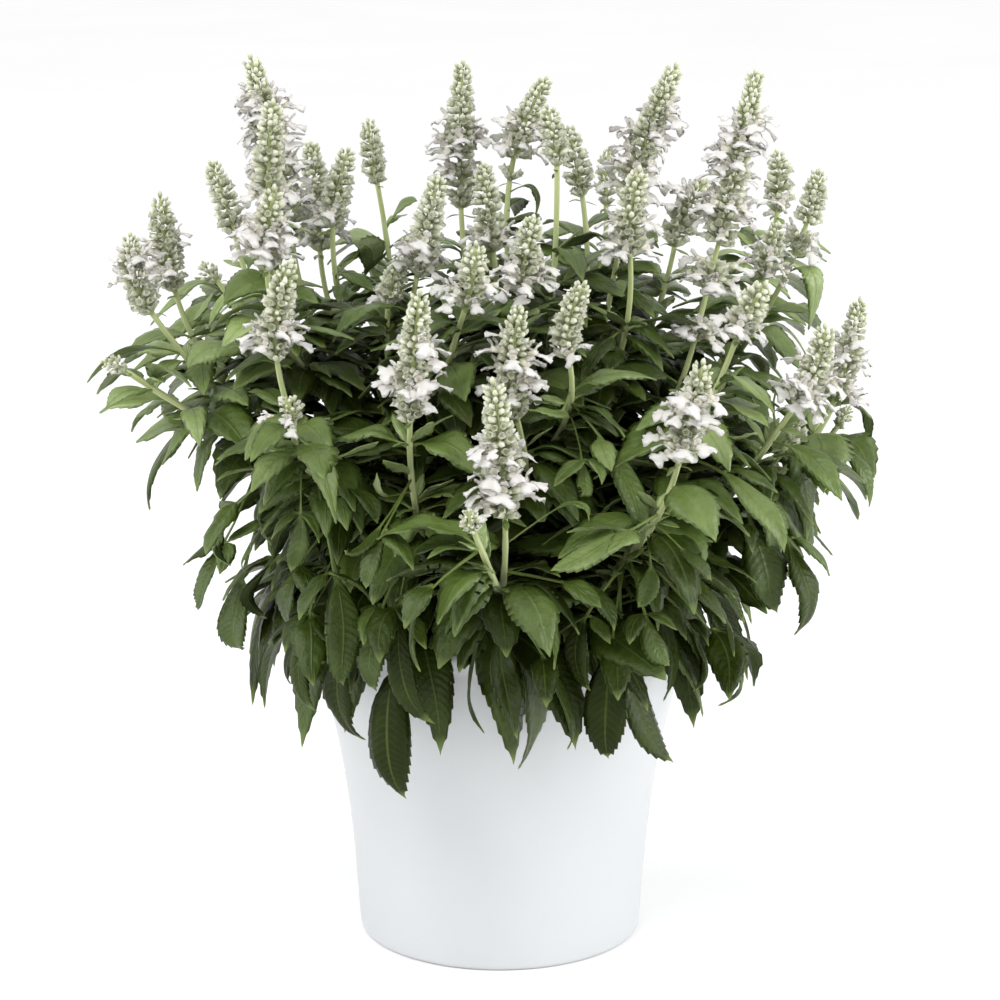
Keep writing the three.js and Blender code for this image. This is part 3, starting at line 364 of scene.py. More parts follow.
class Board:  # a material's node board
    sockets = {"colour": "Base Color", "roughness": "Roughness", "specular": "Specular IOR Level", "normal": "Normal",
               "sheen": "Sheen Weight", "sheenRoughness": "Sheen Roughness", "subsurface": "Subsurface Weight",
               "subsurfaceScale": "Subsurface Scale"}

    def __init__(self, name):
        self.material = bpy.data.materials.new(name)
        self.material.use_nodes = True
        self.tree = self.material.node_tree
        self.shader = self.tree.nodes["Principled BSDF"]

    def feed(self, target, value):  # a number or a colour goes on the socket itself, an output is wired to it
        if isinstance(value, tuple):
            target.default_value = (*value, 1)
        elif isinstance(value, (int, float)):
            target.default_value = value
        else:
            self.tree.links.new(value, target)

    def put(self, kind, inputs=(), **settings):
        made = self.tree.nodes.new(kind)
        for key, value in settings.items():
            setattr(made, key, value)
        for key, value in dict(inputs).items():
            self.feed(made.inputs[key], value)
        return made

    def math(self, operation, *values, clamp=False):
        return self.put("ShaderNodeMath", enumerate(values), operation=operation, use_clamp=clamp).outputs[0]

    def times(self, a, b, **more):
        return self.math("MULTIPLY", a, b, **more)

    def plus(self, a, b, **more):
        return self.math("ADD", a, b, **more)

    def less(self, a, b, **more):
        return self.math("SUBTRACT", a, b, **more)

    def blend(self, share, a, b, way="MIX"):
        return self.put("ShaderNodeMix", {0: share, 6: a, 7: b}, data_type="RGBA", blend_type=way).outputs[2]

    def ramp(self, share, stops):
        made = self.put("ShaderNodeValToRGB", {0: share})
        band = made.color_ramp.elements
        for k, (place, colour) in enumerate((stops[0], stops[-1])):
            band[k].position, band[k].color = place, (*colour, 1)
        for place, colour in stops[1:-1]:
            band.new(place).color = (*colour, 1)
        return made.outputs[0]

    def noise(self, scale, detail=3.0, rough=0.5):
        place = self.put("ShaderNodeTexCoord").outputs["Object"]
        return self.put("ShaderNodeTexNoise", {"Vector": place, "Scale": scale, "Detail": detail,
                                               "Roughness": rough}).outputs["Fac"]

    def marks(self):
        made = self.put("ShaderNodeAttribute", attribute_name="marks")
        return self.put("ShaderNodeSeparateColor", {0: made.outputs["Color"]}).outputs[:3]

    def uv(self):
        made = self.put("ShaderNodeUVMap", uv_map="UVMap")
        return self.put("ShaderNodeSeparateXYZ", {0: made.outputs[0]}).outputs[:2]

    def bump(self, height, strength, distance):
        made = self.put("ShaderNodeBump", {"Strength": strength, "Distance": distance, "Height": height})
        self.feed(self.shader.inputs["Normal"], made.outputs[0])

    def done(self, **values):
        for key, value in values.items():
            self.feed(self.shader.inputs[self.sockets[key]], value)
        return self.material


def leafGreen():  # marks: painted light and shade with this leaf's own tone, underside, stalk; UV: across and along the blade
    b = Board("leafGreen")
    paintedLightAndTone, under, stalk = b.marks()
    across, along = b.uv()
    off = b.math("ABSOLUTE", b.less(across, 0.5))
    patch = b.noise(55)
    fine = b.noise(420, 4, 0.6)
    # the first mark is mostly painted light: low and inner leaves are painted in shade and high and outer ones
    # painted lit, so the ramps run from painted shade to painted light, and the gloss follows the same mark
    tone = b.plus(paintedLightAndTone, b.times(b.less(patch, 0.5), 0.45), clamp=True)
    upper = b.ramp(tone, [(0.0, (0.015, 0.024, 0.002)), (0.3, (0.037, 0.060, 0.006)),
                          (0.6, (0.105, 0.160, 0.030)), (1.0, (0.31, 0.40, 0.14))])
    lower = b.ramp(tone, [(0.0, (0.075, 0.10, 0.035)), (1.0, (0.24, 0.30, 0.13))])
    green = b.blend(under, upper, lower)
    bent = b.plus(b.times(off, 0.30), b.times(b.times(off, off), 0.35))
    bent = b.less(b.times(patch, 0.10), bent)
    turn = b.math("FRACT", b.times(b.plus(along, bent), 9.0))
    gap = b.math("ABSOLUTE", b.less(turn, 0.5))
    side = b.less(1.0, b.math("DIVIDE", gap, 0.09), clamp=True)
    side = b.times(side, b.less(1.0, b.times(off, 2.1), clamp=True))
    middle = b.less(1.0, b.math("DIVIDE", off, 0.04), clamp=True)
    veins = b.math("MAXIMUM", b.times(side, 0.26), b.times(middle, 0.6))
    green = b.blend(b.times(veins, 0.5), green, (0.20, 0.27, 0.07))
    edge = b.times(b.less(off, 0.455, clamp=True), 9.0, clamp=True)
    green = b.blend(edge, green, (0.24, 0.32, 0.11))
    green = b.blend(b.times(stalk, 0.8), green, (0.20, 0.27, 0.07))
    green = b.blend(b.times(fine, 0.3), green, (0.25, 0.35, 0.2), "MULTIPLY")
    height = b.plus(b.times(gap, 0.58), b.times(fine, 1.1))
    height = b.less(height, b.times(middle, 0.6))
    b.bump(height, 0.6, 0.0009)
    return b.done(colour=green, roughness=b.plus(0.22, b.times(patch, 0.24)),
                  specular=b.plus(0.12, b.times(paintedLightAndTone, 0.62)))


def stemGreen():  # marks: height share, chance, ridge
    b = Board("stemGreen")
    high, chance, ridge = b.marks()
    tone = b.plus(high, b.times(b.less(b.noise(160), 0.5), 0.4), clamp=True)
    green = b.ramp(tone, [(0.0, (0.08, 0.09, 0.02)), (0.35, (0.20, 0.25, 0.07)), (1.0, (0.34, 0.395, 0.14))])
    green = b.blend(b.times(ridge, 0.6), green, (0.60, 0.66, 0.37))
    b.bump(b.noise(1400, 2), 0.25, 0.0004)
    return b.done(colour=green, roughness=0.55, sheen=0.1, sheenRoughness=0.5, specular=0.25)


def mealyCalyx():  # marks: youth along the spike, along the calyx, chance
    b = Board("mealyCalyx")
    youth, along, chance = b.marks()
    wool = b.noise(1700, 3, 0.7)
    patch = b.noise(240, 2)
    mealy = b.ramp(b.plus(b.times(along, 0.75), b.times(wool, 0.35), clamp=True),
                   [(0.0, (0.22, 0.27, 0.09)), (0.4, (0.53, 0.565, 0.36)), (1.0, (0.88, 0.88, 0.77))])
    # the paler tone of the young calyxes near the spike's tip
    young = b.ramp(b.plus(along, b.times(b.less(wool, 0.5), 0.5), clamp=True),
                   [(0.0, (0.33, 0.37, 0.18)), (0.6, (0.65, 0.68, 0.48)), (1.0, (0.88, 0.89, 0.77))])
    green = b.blend(youth, mealy, young)
    green = b.blend(b.times(b.less(chance, 0.5, clamp=True), 0.8), green, (0.78, 0.77, 0.68))
    green = b.blend(b.times(b.less(patch, 0.42, clamp=True), 1.4, clamp=True), green,
                    (0.17, 0.20, 0.07))
    b.bump(b.plus(wool, b.times(patch, 0.6)), 0.7, 0.0006)
    return b.done(colour=green, roughness=0.85, sheen=0.35, sheenRoughness=0.4, specular=0.12)


def whitePetal():  # marks: along the petal, throat, chance
    b = Board("whitePetal")
    along, throat, chance = b.marks()
    streak = b.noise(600, 3)
    white = b.ramp(b.plus(b.times(along, 0.8), b.times(streak, 0.2), clamp=True),
                   [(0.0, (0.40, 0.43, 0.27)), (0.3, (0.68, 0.68, 0.59)), (1.0, (0.76, 0.75, 0.715))])
    white = b.blend(b.times(chance, 0.3), white, (0.82, 0.72, 0.72))
    white = b.blend(b.times(throat, 0.45), white, (0.66, 0.60, 0.42))
    b.bump(streak, 0.35, 0.0005)
    b.shader.inputs["Subsurface Radius"].default_value = (1.0, 0.97, 0.9)
    return b.done(colour=white, roughness=0.65, sheen=0.15, specular=0.2, subsurface=0.4, subsurfaceScale=0.004)


def potWhite():
    b = Board("potWhite")
    broad = b.noise(9, 2)
    grain = b.noise(1600, 2)
    white = b.ramp(broad, [(0.3, (0.545, 0.565, 0.577)), (0.7, (0.575, 0.59, 0.60))])
    b.bump(grain, 0.12, 0.0003)
    return b.done(colour=white, roughness=b.plus(0.36, b.times(grain, 0.14)), specular=0.4)


def pottingSoil():
    b = Board("pottingSoil")
    clod = b.noise(180, 6, 0.7)
    grain = b.noise(900, 3, 0.7)
    brown = b.ramp(b.plus(b.times(clod, 0.7), b.times(grain, 0.3)),
                   [(0.3, (0.010, 0.007, 0.005)), (0.5, (0.035, 0.024, 0.015)), (0.75, (0.09, 0.06, 0.04))])
    b.bump(b.plus(clod, grain), 0.9, 0.002)
    return b.done(colour=brown, roughness=0.95, specular=0.2)


print("finishes")
finishes = {"leaf": leafGreen(), "stem": stemGreen(), "calyx": mealyCalyx(), "petal": whitePetal(),
            "pot": potWhite(), "soil": pottingSoil()}


# pot: a turned shell with a rolled lip and a rounded foot

pot = {"height": 178, "footRadius": 74.5, "lean": 0.0633, "flare": 4.02e-6, "flareTop": 135, "brim": 0.27,
       "wall": 3, "floor": 5, "lip": 4, "edge": 3, "sides": 112, "hollow": 12}
# the rolled lip, from outside over the top: how far past the rim's radius, and height
lipForm = ((-0.2, 173.4), (0.9, 174.0), (1.5, 175.2), (1.6, 176.6), (1.2, 177.6), (0.2, 178.0), (-1.6, 178.0),
           (-2.7, 177.4), (-3.0, 176.0))


def potRadius(z):
    low = min(z, pot["flareTop"])
    return pot["footRadius"] + pot["lean"] * low + pot["flare"] * low ** 3 + pot["brim"] * (z - low)


def turned(profile, sides):
    angles = 2 * np.pi * np.arange(sides) / sides
    r, z = np.array(profile).T
    return np.stack([np.outer(r, np.cos(angles)), np.outer(r, np.sin(angles)),
                     np.repeat(z[:, None], sides, 1)], -1)


def makePot():
    heap = Heap()
    top = potRadius(pot["height"])
    foot = pot["footRadius"]
    edge = [(foot - pot["edge"] + pot["edge"] * math.sin(a), pot["edge"] - pot["edge"] * math.cos(a))
            for a in (math.pi / 2 * i / 5 for i in range(6))]
    wall = [(potRadius(z), z) for z in np.linspace(8, pot["height"] - pot["lip"] - 1, 20)]
    lip = [(top + out, z) for out, z in lipForm]
    inside = [(potRadius(z) - pot["wall"], z) for z in np.linspace(172, pot["floor"] + 3, 14)]
    floor = [(foot - pot["wall"] - 0.6, pot["floor"] + 0.7), (foot - pot["wall"] - 3, pot["floor"])]
    under = [(foot - pot["hollow"], 0.0), (foot - pot["edge"] - 1, 0.0)]
    heap.loft(turned(under + edge + wall + lip + inside + floor, pot["sides"]), 0)
    makePiece("pot_shell", heap, [finishes["pot"]], ["pot"])


# soil: a crumbly top with loose crumbs

soil = {"top": 160, "gap": 0.5, "rings": 34, "sides": 90, "relief": 2.2, "crumbs": 420, "crumbSize": (0.9, 2.6),
        "wallHeights": (5.6, 40, 80, 110, 135, 148), "wallGap": 1.2, "heart": 0.985}
crumbWays = np.array([(1, 0, 0), (0, 1, 0), (-1, 0, 0), (0, -1, 0), (0, 0, 0.8), (0, 0, -0.8)])


def makeSoil():
    heap = Heap()
    sides = soil["sides"]
    rim = potRadius(soil["top"]) - pot["wall"] - soil["gap"]
    walls = turned([(potRadius(z) - pot["wall"] - soil["wallGap"], z) for z in soil["wallHeights"]], sides)
    rings = []
    for k in range(soil["rings"] + 1):
        r = rim * (1 - k / soil["rings"] * soil["heart"])
        a = 2 * np.pi * (np.arange(sides) + 0.5 * (k % 2)) / sides
        lump = np.sin(r * 0.21 + 3 * np.cos(a * 3)) * np.cos(a * 7 + r * 0.13)
        rough = np.array([drawBetween(-0.5, 0.5, 91, k, i) for i in range(sides)])
        height = soil["top"] + soil["relief"] * (0.55 * lump + rough)
        rings.append(np.stack([r * np.cos(a), r * np.sin(a), height], -1))
    heap.loft(np.concatenate([walls, rings]), 0)
    for n in range(soil["crumbs"]):
        r = (rim - 4) * draw(92, n, 1) ** 0.5
        a = 2 * math.pi * draw(92, n, 2)
        size = drawBetween(*soil["crumbSize"], 92, n, 3)
        sizes = np.array([size * (0.7 + 0.5 * draw(92, n, 4, k)) for k in range(6)])
        low = heap.add(vec(r * math.cos(a), r * math.sin(a), soil["top"] + 0.8) + crumbWays * sizes[:, None])
        heap.face([(low + k, low + (k + 1) % 4, low + 4) for k in range(4)], 0)
        heap.face([(low + (k + 1) % 4, low + k, low + 5) for k in range(4)], 0)
    makePiece("soil_bed", heap, [finishes["soil"]], ["soil"], flat=True)


makePot()
makeSoil()
print("pot and soil")


# shoots: each stalk's curve from the soil or from its main shoot up to its spike's foot

stem = {"collar": 6, "footRadius": 2.5, "topRadius": 1.5, "sideRadius": 1.9, "ringEvery": 30, "fineEvery": 5.5,
        "buried": 8, "sides": 12, "swell": 0.22, "swellLong": 2.6}


def shootsOf(plan, number):
    x, y = plan["root"]
    made = []
    for i, data in enumerate(plan["shoots"]):
        depth = data["depth"] * clump["depth"]
        foot, tip = fromPhoto(data["foot"], depth), fromPhoto(data["tip"], depth * 1.06 + 2)
        rise = unit(foot - fromPhoto(data["knee"], depth * 0.97))
        start = spotOn(made[0], data["from"]) if i else vec(x, y, soil["top"] + stem["collar"])
        reach = float(np.linalg.norm(foot - start))
        leave = vec(0, 0, 1)
        if i:
            leave = mix(curveWay(made[0]["stalk"], data["from"]), unit(foot - start), 0.75)
        stalk = [start, start + leave * reach * 0.3, foot - rise * reach * 0.38, foot]
        axis = [foot, foot + rise * float(np.linalg.norm(foot - tip)) * 0.45, tip]
        long = curveLength(stalk)
        made.append({**data, "plan": plan, "key": (number, i), "stalk": stalk, "axis": axis,
                     "long": long, "rings": max(3, round(long / stem["ringEvery"])), "main": i == 0,
                     "radii": (stem["sideRadius"] if i else stem["footRadius"], stem["topRadius"]), "joints": []})
    return made


def spotOn(shoot, t):  # a point on the stalk's straight stretches between rings
    place = t * shoot["rings"]
    ring = min(math.floor(place), shoot["rings"] - 1)
    return mix(curvePoint(shoot["stalk"], ring / shoot["rings"]),
               curvePoint(shoot["stalk"], (ring + 1) / shoot["rings"]), place - ring)


shoots = [shoot for number, plan in enumerate(stemPlans) for shoot in shootsOf(plan, number)]
for order, shoot in enumerate(shoots):
    shoot["order"] = order


def growStalk(heap, shoot):  # square and ridged, a little thicker at each pair of leaves
    count = max(8, round(shoot["long"] / stem["fineEvery"]))
    t = np.arange(count + 1) / count
    points, ways = curveRun(shoot["stalk"], t)
    if shoot["main"]:
        x, y = shoot["plan"]["root"]
        points, ways = np.vstack([[x, y, soil["top"] - stem["buried"]], points]), np.vstack([[0, 0, 1], ways])
        t = np.append(0, t)
    joints = np.array(shoot["joints"] + [-9.0])
    nearness = np.exp(-((t[:, None] - joints) * shoot["long"] / stem["swellLong"]) ** 2).max(1)
    swells = 1 + stem["swell"] * nearness
    radius = (shoot["radii"][0] + (shoot["radii"][1] - shoot["radii"][0]) * t ** 0.6) * swells * 1.02
    a = 2 * np.pi * (np.arange(stem["sides"]) + 0.5) / stem["sides"]
    ridge = np.abs(np.sin(2 * a)) ** 0.8
    r = radius[:, None] * (0.76 + 0.24 * ridge)
    marks = np.zeros((len(t), stem["sides"], 3))
    marks[..., 0] = np.clip((points[:, 2:] - 150) / 250, 0, 1)
    marks[..., 2] = ridge
    heap.loft(ringsAlong(points, ways, r, a), 1, (0, 0), marks)


# leaves: toothed blades on a curved rib, each as a thin closed solid that starts inside its shoot

leaf = {"inset": 0.2, "petiole": 0.9, "fold": 0.34, "thickness": 0.5, "rows": 23, "tooth": 0.038, "early": 0.75,
        "wave": 0.12, "curl": 0.42, "sway": 0.05, "vein": 0.45, "veinSpan": 62, "peak": 0.417, "tipPower": 1.02,
        "ripple": 0.022, "ripples": 2.4, "stops": 21}
pairs = {"every": 58, "first": 24, "last": 0.93, "longLow": 84, "longHigh": 44, "widthShare": 0.44, "tries": 12,
         "cross": 1.57, "offset": 0.03, "turn": (-0.9, 0.9), "highAt": 200, "longChance": (0.82, 1.15),
         "lift": (0.35, 0.75), "liftChance": (-0.25, 0.25), "droop": (-0.5, -1.15), "highDroop": 0.55,
         "droopChance": (-0.35, 0.25), "wideChance": (0.85, 1.15), "roll": (-0.45, 0.45), "stalkShare": (0.26, 0.14),
         "bendAt": 0.45, "tipAt": 0.6}
skirt = {"outerRoot": 44, "perStem": 5, "fan": 0.62, "low": 0.07, "step": 0.045, "rimRoom": 9, "long": 62,
         "wide": 13.5, "tries": 16}
depthShifts = (0, -5, 5, -10, 10, -16, 16, -22, 22, -28, 28)


def bladeShare(s):
    return (s ** 0.75 * (1 - s) ** 1.05) / 0.2955 if 0 < s < 1 else 0.0


def makeLeaf(start, bend, tip, width, **more):
    rib = [start, bend, tip]
    made = {"rib": rib, "heading": math.atan2(tip[1] - start[1], tip[0] - start[0]), "width": width, "roll": 0.0,
            "fold": leaf["fold"], "stalkShare": 0.14, "length": curveLength(rib)}
    made.update(more)
    return made


def ribFrame(one, t):
    along = curveWay(one["rib"], t)
    level = vec(-math.sin(one["heading"]), math.cos(one["heading"]), 0)
    level = unit(level - along * along.dot(level))
    face = np.cross(along, level)
    turn = one["roll"] * min(1.0, t * 2)
    side = level * math.cos(turn) + face * math.sin(turn)
    return curvePoint(one["rib"], t), along, side, np.cross(along, side)


# across a blade: over the upper face from edge to edge and back below, finely or lightly divided
crossings = {False: ((-1.0, -0.68, -0.3, 0.0, 0.3, 0.68, 1.0, 0.68, 0.3, 0.0, -0.3, -0.68), 7),
             True: ((-1.0, -0.5, 0.0, 0.5, 1.0, 0.5, 0.0, -0.5), 5)}


def growLeaf(heap, one, paintedLightAndTone, *keys):
    share, rows = one["stalkShare"], one.get("rows", leaf["rows"])
    places, upper = crossings[one.get("light", False)]
    places, faceSide = np.array(places), np.where(np.arange(len(places)) < upper, 1, -1)
    isEdge = np.abs(places) == 1.0
    begin = max(0.05, share * leaf["early"])
    peak = leaf["peak"]
    power = leaf["tipPower"] * peak / (1 - peak)
    s = np.concatenate([[0, 0, 0], (np.arange(rows) + 0.4) / (rows - 0.25)])
    t = np.concatenate([[0, begin * 0.35, begin * 0.7], begin + (1 - begin) * s[3:]])
    points, ways = curveRun(one["rib"], t)
    level = vec(-math.sin(one["heading"]), math.cos(one["heading"]), 0)
    flat = level - ways * (ways @ level)[:, None]
    flat /= np.linalg.norm(flat, axis=1)[:, None]
    turn = (one["roll"] * np.minimum(1, 2 * t) + drawBetween(-0.5, 0.5, *keys, 34) * t * t)[:, None]
    side = flat * np.cos(turn) + np.cross(ways, flat) * np.sin(turn)
    face = np.cross(ways, side)
    bow = np.sin(np.pi * t) ** 2 * one["length"]
    points = points + side * (leaf["sway"] * drawBetween(-1, 1, *keys, 35) * bow)[:, None]
    ripple = np.sin(np.pi * t) * np.sin(np.pi * leaf["ripples"] * t + drawBetween(0, 6.28, *keys, 36)) * one["length"]
    points = points + face * (leaf["ripple"] * drawBetween(0.2, 1, *keys, 37) * ripple)[:, None]
    half = one["width"] * (s / peak) ** power * ((1 - s) / (1 - peak)) ** leaf["tipPower"]
    petiole = leaf["petiole"] * min(1, one["width"] / 8) * (1 - 0.35 * np.minimum(1, t / max(begin, 0.01)))
    broad = np.clip((half - petiole) / 2.4, 0, 1) ** 1.3
    half = np.maximum(half, petiole)
    tooth = np.array([drawBetween(0.3, 1.5, *keys, 38, k) if k % 2 else -0.45 for k in range(len(s))])
    tooth = (1 + broad * tooth * leaf["tooth"])[:, None] * isEdge + ~isEdge
    ahead = broad * one["length"] / rows * np.where(np.arange(len(s)) % 2, 0.35, -0.1)
    phase, waves = drawBetween(0, 6.28, *keys, 31), drawBetween(1.1, 2.3, *keys, 32)
    wave = leaf["wave"] * drawBetween(0.4, 1.3, *keys, 33)
    out = np.abs(places)
    fold, curl = one["fold"] * drawBetween(0.5, 1.3, *keys, 39), leaf["curl"] * drawBetween(0.3, 1.2, *keys, 40)
    swing = np.sin(phase + 6.28 * waves * s[:, None] + 1.7 * (places > 0))
    lift = half[:, None] * broad[:, None] * (fold * out - curl * out ** 2.6 + wave * out * out * swing)
    plate = leaf["thickness"] / 2 * broad[:, None] * ~isEdge
    stalkRise = petiole[:, None] * np.sqrt(1 - out * out) * (1 - broad[:, None])
    rise = lift + faceSide * (stalkRise + plate)
    rib = broad[:, None] * (out == 0)
    rise = rise - rib * np.where(faceSide > 0, 0.2, leaf["vein"] * (1 - 0.7 * s[:, None]))
    away = half[:, None] * places * tooth * (1 - 0.12 * curl * out * out)
    rings = points[:, None] + side[:, None] * away[..., None] + face[:, None] * rise[..., None]
    rings = rings + (ways * ahead[:, None])[:, None] * isEdge[:, None]
    uvs = np.stack(np.broadcast_arrays(0.5 + places / 2, s[:, None] * one["length"] / leaf["veinSpan"]), -1)
    # first mark: painted light and shade by height and reach, with the leaf's own tone
    marks = np.stack(np.broadcast_arrays(paintedLightAndTone, (faceSide < 0) * 1.0, 1 - broad[:, None]), -1)
    heap.loft(rings, 0, uvs, marks, points[0], points[-1] + ways[-1] * one["length"] * 0.02)


def shownLeaf(data, attempt):
    at2, mid2, tip2, wide, (near, far), roll = data
    shift = depthShifts[attempt]
    spread = clump["depth"] if at2[1] < 560 else clump["skirt"]
    at = fromPhoto(at2, near * spread + shift * 0.5)
    tip = fromPhoto(tip2, far * spread + shift)
    mid = fromPhoto(mid2, mix(near, far, 0.6) * spread + shift * 0.8)
    best = (1e9, None, None, 0)
    for shoot in shoots:
        for i in range(2, leaf["stops"]):
            point = spotOn(shoot, i / leaf["stops"])
            distance = float(np.linalg.norm(point - at))
            if distance < best[0]:
                best = (distance, point, shoot, i / leaf["stops"])
    distance, point, shoot, t = best
    start = mix(point, at, min(0.5, leaf["inset"] / distance))
    bend = mid * 2 - start * 0.5 - tip * 0.5
    scale = (far * spread + view["distance"]) / view["focal"]
    length = float(np.linalg.norm(at - mid) + np.linalg.norm(mid - tip))
    stalkShare = min(0.5, max(0.08, distance / (distance + length)) + 0.05)
    return makeLeaf(start, bend, tip, wide / 2 * scale, roll=roll, stalkShare=stalkShare, shoot=shoot, t=t)


def pairLeaf(shoot, t, k, hand, attempt):
    keys = (*shoot["key"], k, hand, attempt)
    point = spotOn(shoot, t)
    heading = draw(*shoot["key"], 5) * 3 + (k % 2) * pairs["cross"] + hand * math.pi
    along = curveWay(shoot["stalk"], t)
    outward = math.atan2(point[1], point[0])
    if attempt:
        heading += drawBetween(*pairs["turn"], *keys, 1)
    facing = 0.5 + 0.5 * math.cos(heading - outward)
    high = min(1.0, max(0.0, (point[2] - soil["top"]) / pairs["highAt"]))
    usual = mix(pairs["longLow"], pairs["longHigh"], high) * (1 - 0.03 * attempt)
    long = usual * drawBetween(*pairs["longChance"], *keys, 2)
    lift = mix(*pairs["lift"], high) + drawBetween(*pairs["liftChance"], *keys, 3)
    droop = mix(*pairs["droop"], facing) * mix(1, pairs["highDroop"], high)
    droop += drawBetween(*pairs["droopChance"], *keys, 4)
    ahead = vec(math.cos(heading), math.sin(heading), 0)
    start = point + unit(ahead - along * along.dot(ahead)) * leaf["inset"]

    def reach(origin, share, angle):
        return origin + ahead * share * long * math.cos(angle) + vec(0, 0, share * long * math.sin(angle))

    bend = reach(start, pairs["bendAt"], lift)
    tip = reach(bend, pairs["tipAt"], droop)
    width = long * pairs["widthShare"] * 0.5 * drawBetween(*pairs["wideChance"], *keys, 5)
    return makeLeaf(start, bend, tip, width, roll=drawBetween(*pairs["roll"], *keys, 6),
                    stalkShare=mix(*pairs["stalkShare"], high), shoot=shoot, t=t)


def skirtLeaf(shoot, k, attempt):
    keys = (shoot["key"][0], 77, k, attempt)
    t = skirt["low"] + skirt["step"] * k
    point = spotOn(shoot, t)
    fan = (k / (skirt["perStem"] - 1) - 0.5) * 2 * skirt["fan"] * (1 if k % 2 else -1)
    angle = math.atan2(point[1], point[0]) + fan + drawBetween(-0.2, 0.2, *keys, 1)
    rim = potRadius(pot["height"]) + drawBetween(0.5, 1, *keys, 2) * skirt["rimRoom"] * 2
    over = vec(rim * math.cos(angle), rim * math.sin(angle),
               pot["height"] + drawBetween(0.8, 4, *keys, 3) * skirt["rimRoom"])
    ahead = unit((over - point) * vec(1, 1, 0))
    start = point + ahead * leaf["inset"]
    hang = skirt["long"] * drawBetween(0.75, 1.15, *keys, 4)
    tip = over + ahead * hang * drawBetween(0.05, 0.35, *keys, 5) - vec(0, 0, hang)
    bend = over + ahead * 6 + vec(0, 0, skirt["rimRoom"] * 1.4)
    made = makeLeaf(start, bend, tip, skirt["wide"] * drawBetween(0.8, 1.2, *keys, 6),
                    roll=drawBetween(-0.3, 0.3, *keys, 7), fold=0.2, shoot=shoot, t=t)
    made["stalkShare"] = min(0.42, float(np.linalg.norm(over - start)) * 0.7 / made["length"])
    return made


# the frame's stems say which try each leaf took: its tip is a corner of the stem's solid
corners = {}
sameCorner = 0.00012
for plan in stemPlans:
    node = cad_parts["stem_" + plan["name"]]
    tree = kdtree.KDTree(len(node.data.vertices))
    for i, v in enumerate(node.data.vertices):
        tree.insert(v.co, i)
    tree.balance()
    corners[plan["name"]] = tree


def taken(candidate, tries):
    for attempt in range(tries):
        one = candidate(attempt)
        tip = Vector(tuple(one["rib"][2] * mm))
        if corners[one["shoot"]["plan"]["name"]].find(tip)[2] < sameCorner:
            return one
    return None


leaves = []
for n, data in enumerate(shownLeaves):
    leaves.append(taken(lambda attempt: shownLeaf(data, attempt), len(depthShifts)))
print("shown leaves", len([x for x in leaves if x]), "of", len(leaves))
for shoot in shoots:
    if shoot["main"] and math.hypot(*shoot["plan"]["root"]) > skirt["outerRoot"]:
        for k in range(skirt["perStem"]):
            leaves.append(taken(lambda attempt: skirtLeaf(shoot, k, attempt), skirt["tries"]))
for shoot in shoots:
    k = 0
    while pairs["first"] + k * pairs["every"] < shoot["long"] * pairs["last"]:
        for hand in (0, 1):
            t = (pairs["first"] + (k + pairs["offset"] * hand) * pairs["every"]) / shoot["long"]
            leaves.append(taken(lambda attempt: pairLeaf(shoot, t, k, hand, attempt), pairs["tries"]))
        k += 1
leaves = [one for one in leaves if one]
print("leaves that the frame has", len(leaves))
for one in leaves:
    one["shoot"]["joints"].append(one["t"])


# spikes: whorls of woolly calyxes round a stalk, with two-lipped flowers where the spike is open

spike = {"columns": 4, "rowEvery": 14.5, "corolla": 19, "calyxLong": 7.0, "calyxWide": 0.25, "budWide": 0.37,
         "perWhorl": ((0.6, 10), (0.84, 9), (0.94, 7), (1.0, 5)), "lowGap": 6.9, "highGap": 2.05, "flowering": 0.24,
         "flowerSize": 1.5, "usual": 9.5, "first": 0.012, "last": 0.985, "slender": 0.75,
         "bareSwell": 0.25, "footSwell": 0.62, "swellRise": 3, "taper": 0.6, "taperPower": 3.2, "calyxTaper": 0.43,
         "lean": (0.86, 0.5), "easing": 1.5, "stalk": (0.9, 3.2), "opening": (0.95, 0.3), "openEnd": 0.82,
         "flareChance": 0.34, "axisRadius": 1.5, "axisTaper": 0.8}


def isBare(shoot, s):
    bare = shoot.get("bare", ())
    return any(bare[i] < s < bare[i + 1] for i in range(0, len(bare), 2))


def swell(shoot, s):
    if isBare(shoot, s):
        return spike["bareSwell"]
    return min(1.0, spike["footSwell"] + spike["swellRise"] * s) * (1 - s ** spike["taperPower"] * spike["taper"])


def spikeFrame(shoot, s):
    point, along = curvePoint(shoot["axis"], min(s, 1.0)), curveWay(shoot["axis"], min(s, 1.0))
    across = unit(vec(1, 0, 0) - along * along[0])
    return point, along, across, np.cross(along, across)


def openFlowers(shoot):  # where the frame's spike has its flared flowers
    length = curveLength(shoot["axis"])
    rows = max(3, round(length / spike["rowEvery"]))
    step = 2 * math.pi / spike["columns"]
    found = []
    for row in range(rows):
        for c in range(spike["columns"]):
            for upper in (0, 1):
                key = 2 * c + upper + row * 40
                s = 0.95 * (row + (0.667 if upper else 0.333)) / rows
                angle = (c + (0.5 if (row % 2) == upper else 1.0)) * step
                low, high = shoot["open"]
                if not low < s < high or isBare(shoot, s):
                    continue
                if draw(*shoot["key"], key, 3) < spike["flareChance"]:
                    found.append((s, angle, drawBetween(0.78, 1, *shoot["key"], key, 6)))
    return found


def roundRings(profile, sides):  # rings of (height, radius) about the local way, first axis sideways
    a = 2 * np.pi * np.arange(sides) / sides
    return np.array([[(r * math.cos(v) * (1 + k), r * math.sin(v) * (1 + k), z + lean * (i % 2))
                      for i, v in enumerate(a) for k in (0.06 * (i % 2),)] for z, r, lean in profile])


openCalyx = roundRings(((-0.3, 0.22, 0), (0.08, 0.6, 0), (0.34, 0.96, 0), (0.68, 0.9, 0), (0.9, 1.12, 0.14),
                        (0.66, 0.62, 0)), 5)
shutCalyx = roundRings(((-0.2, 0.25, 0), (0.12, 0.72, 0), (0.45, 1.0, 0), (0.82, 0.62, 0)), 5)


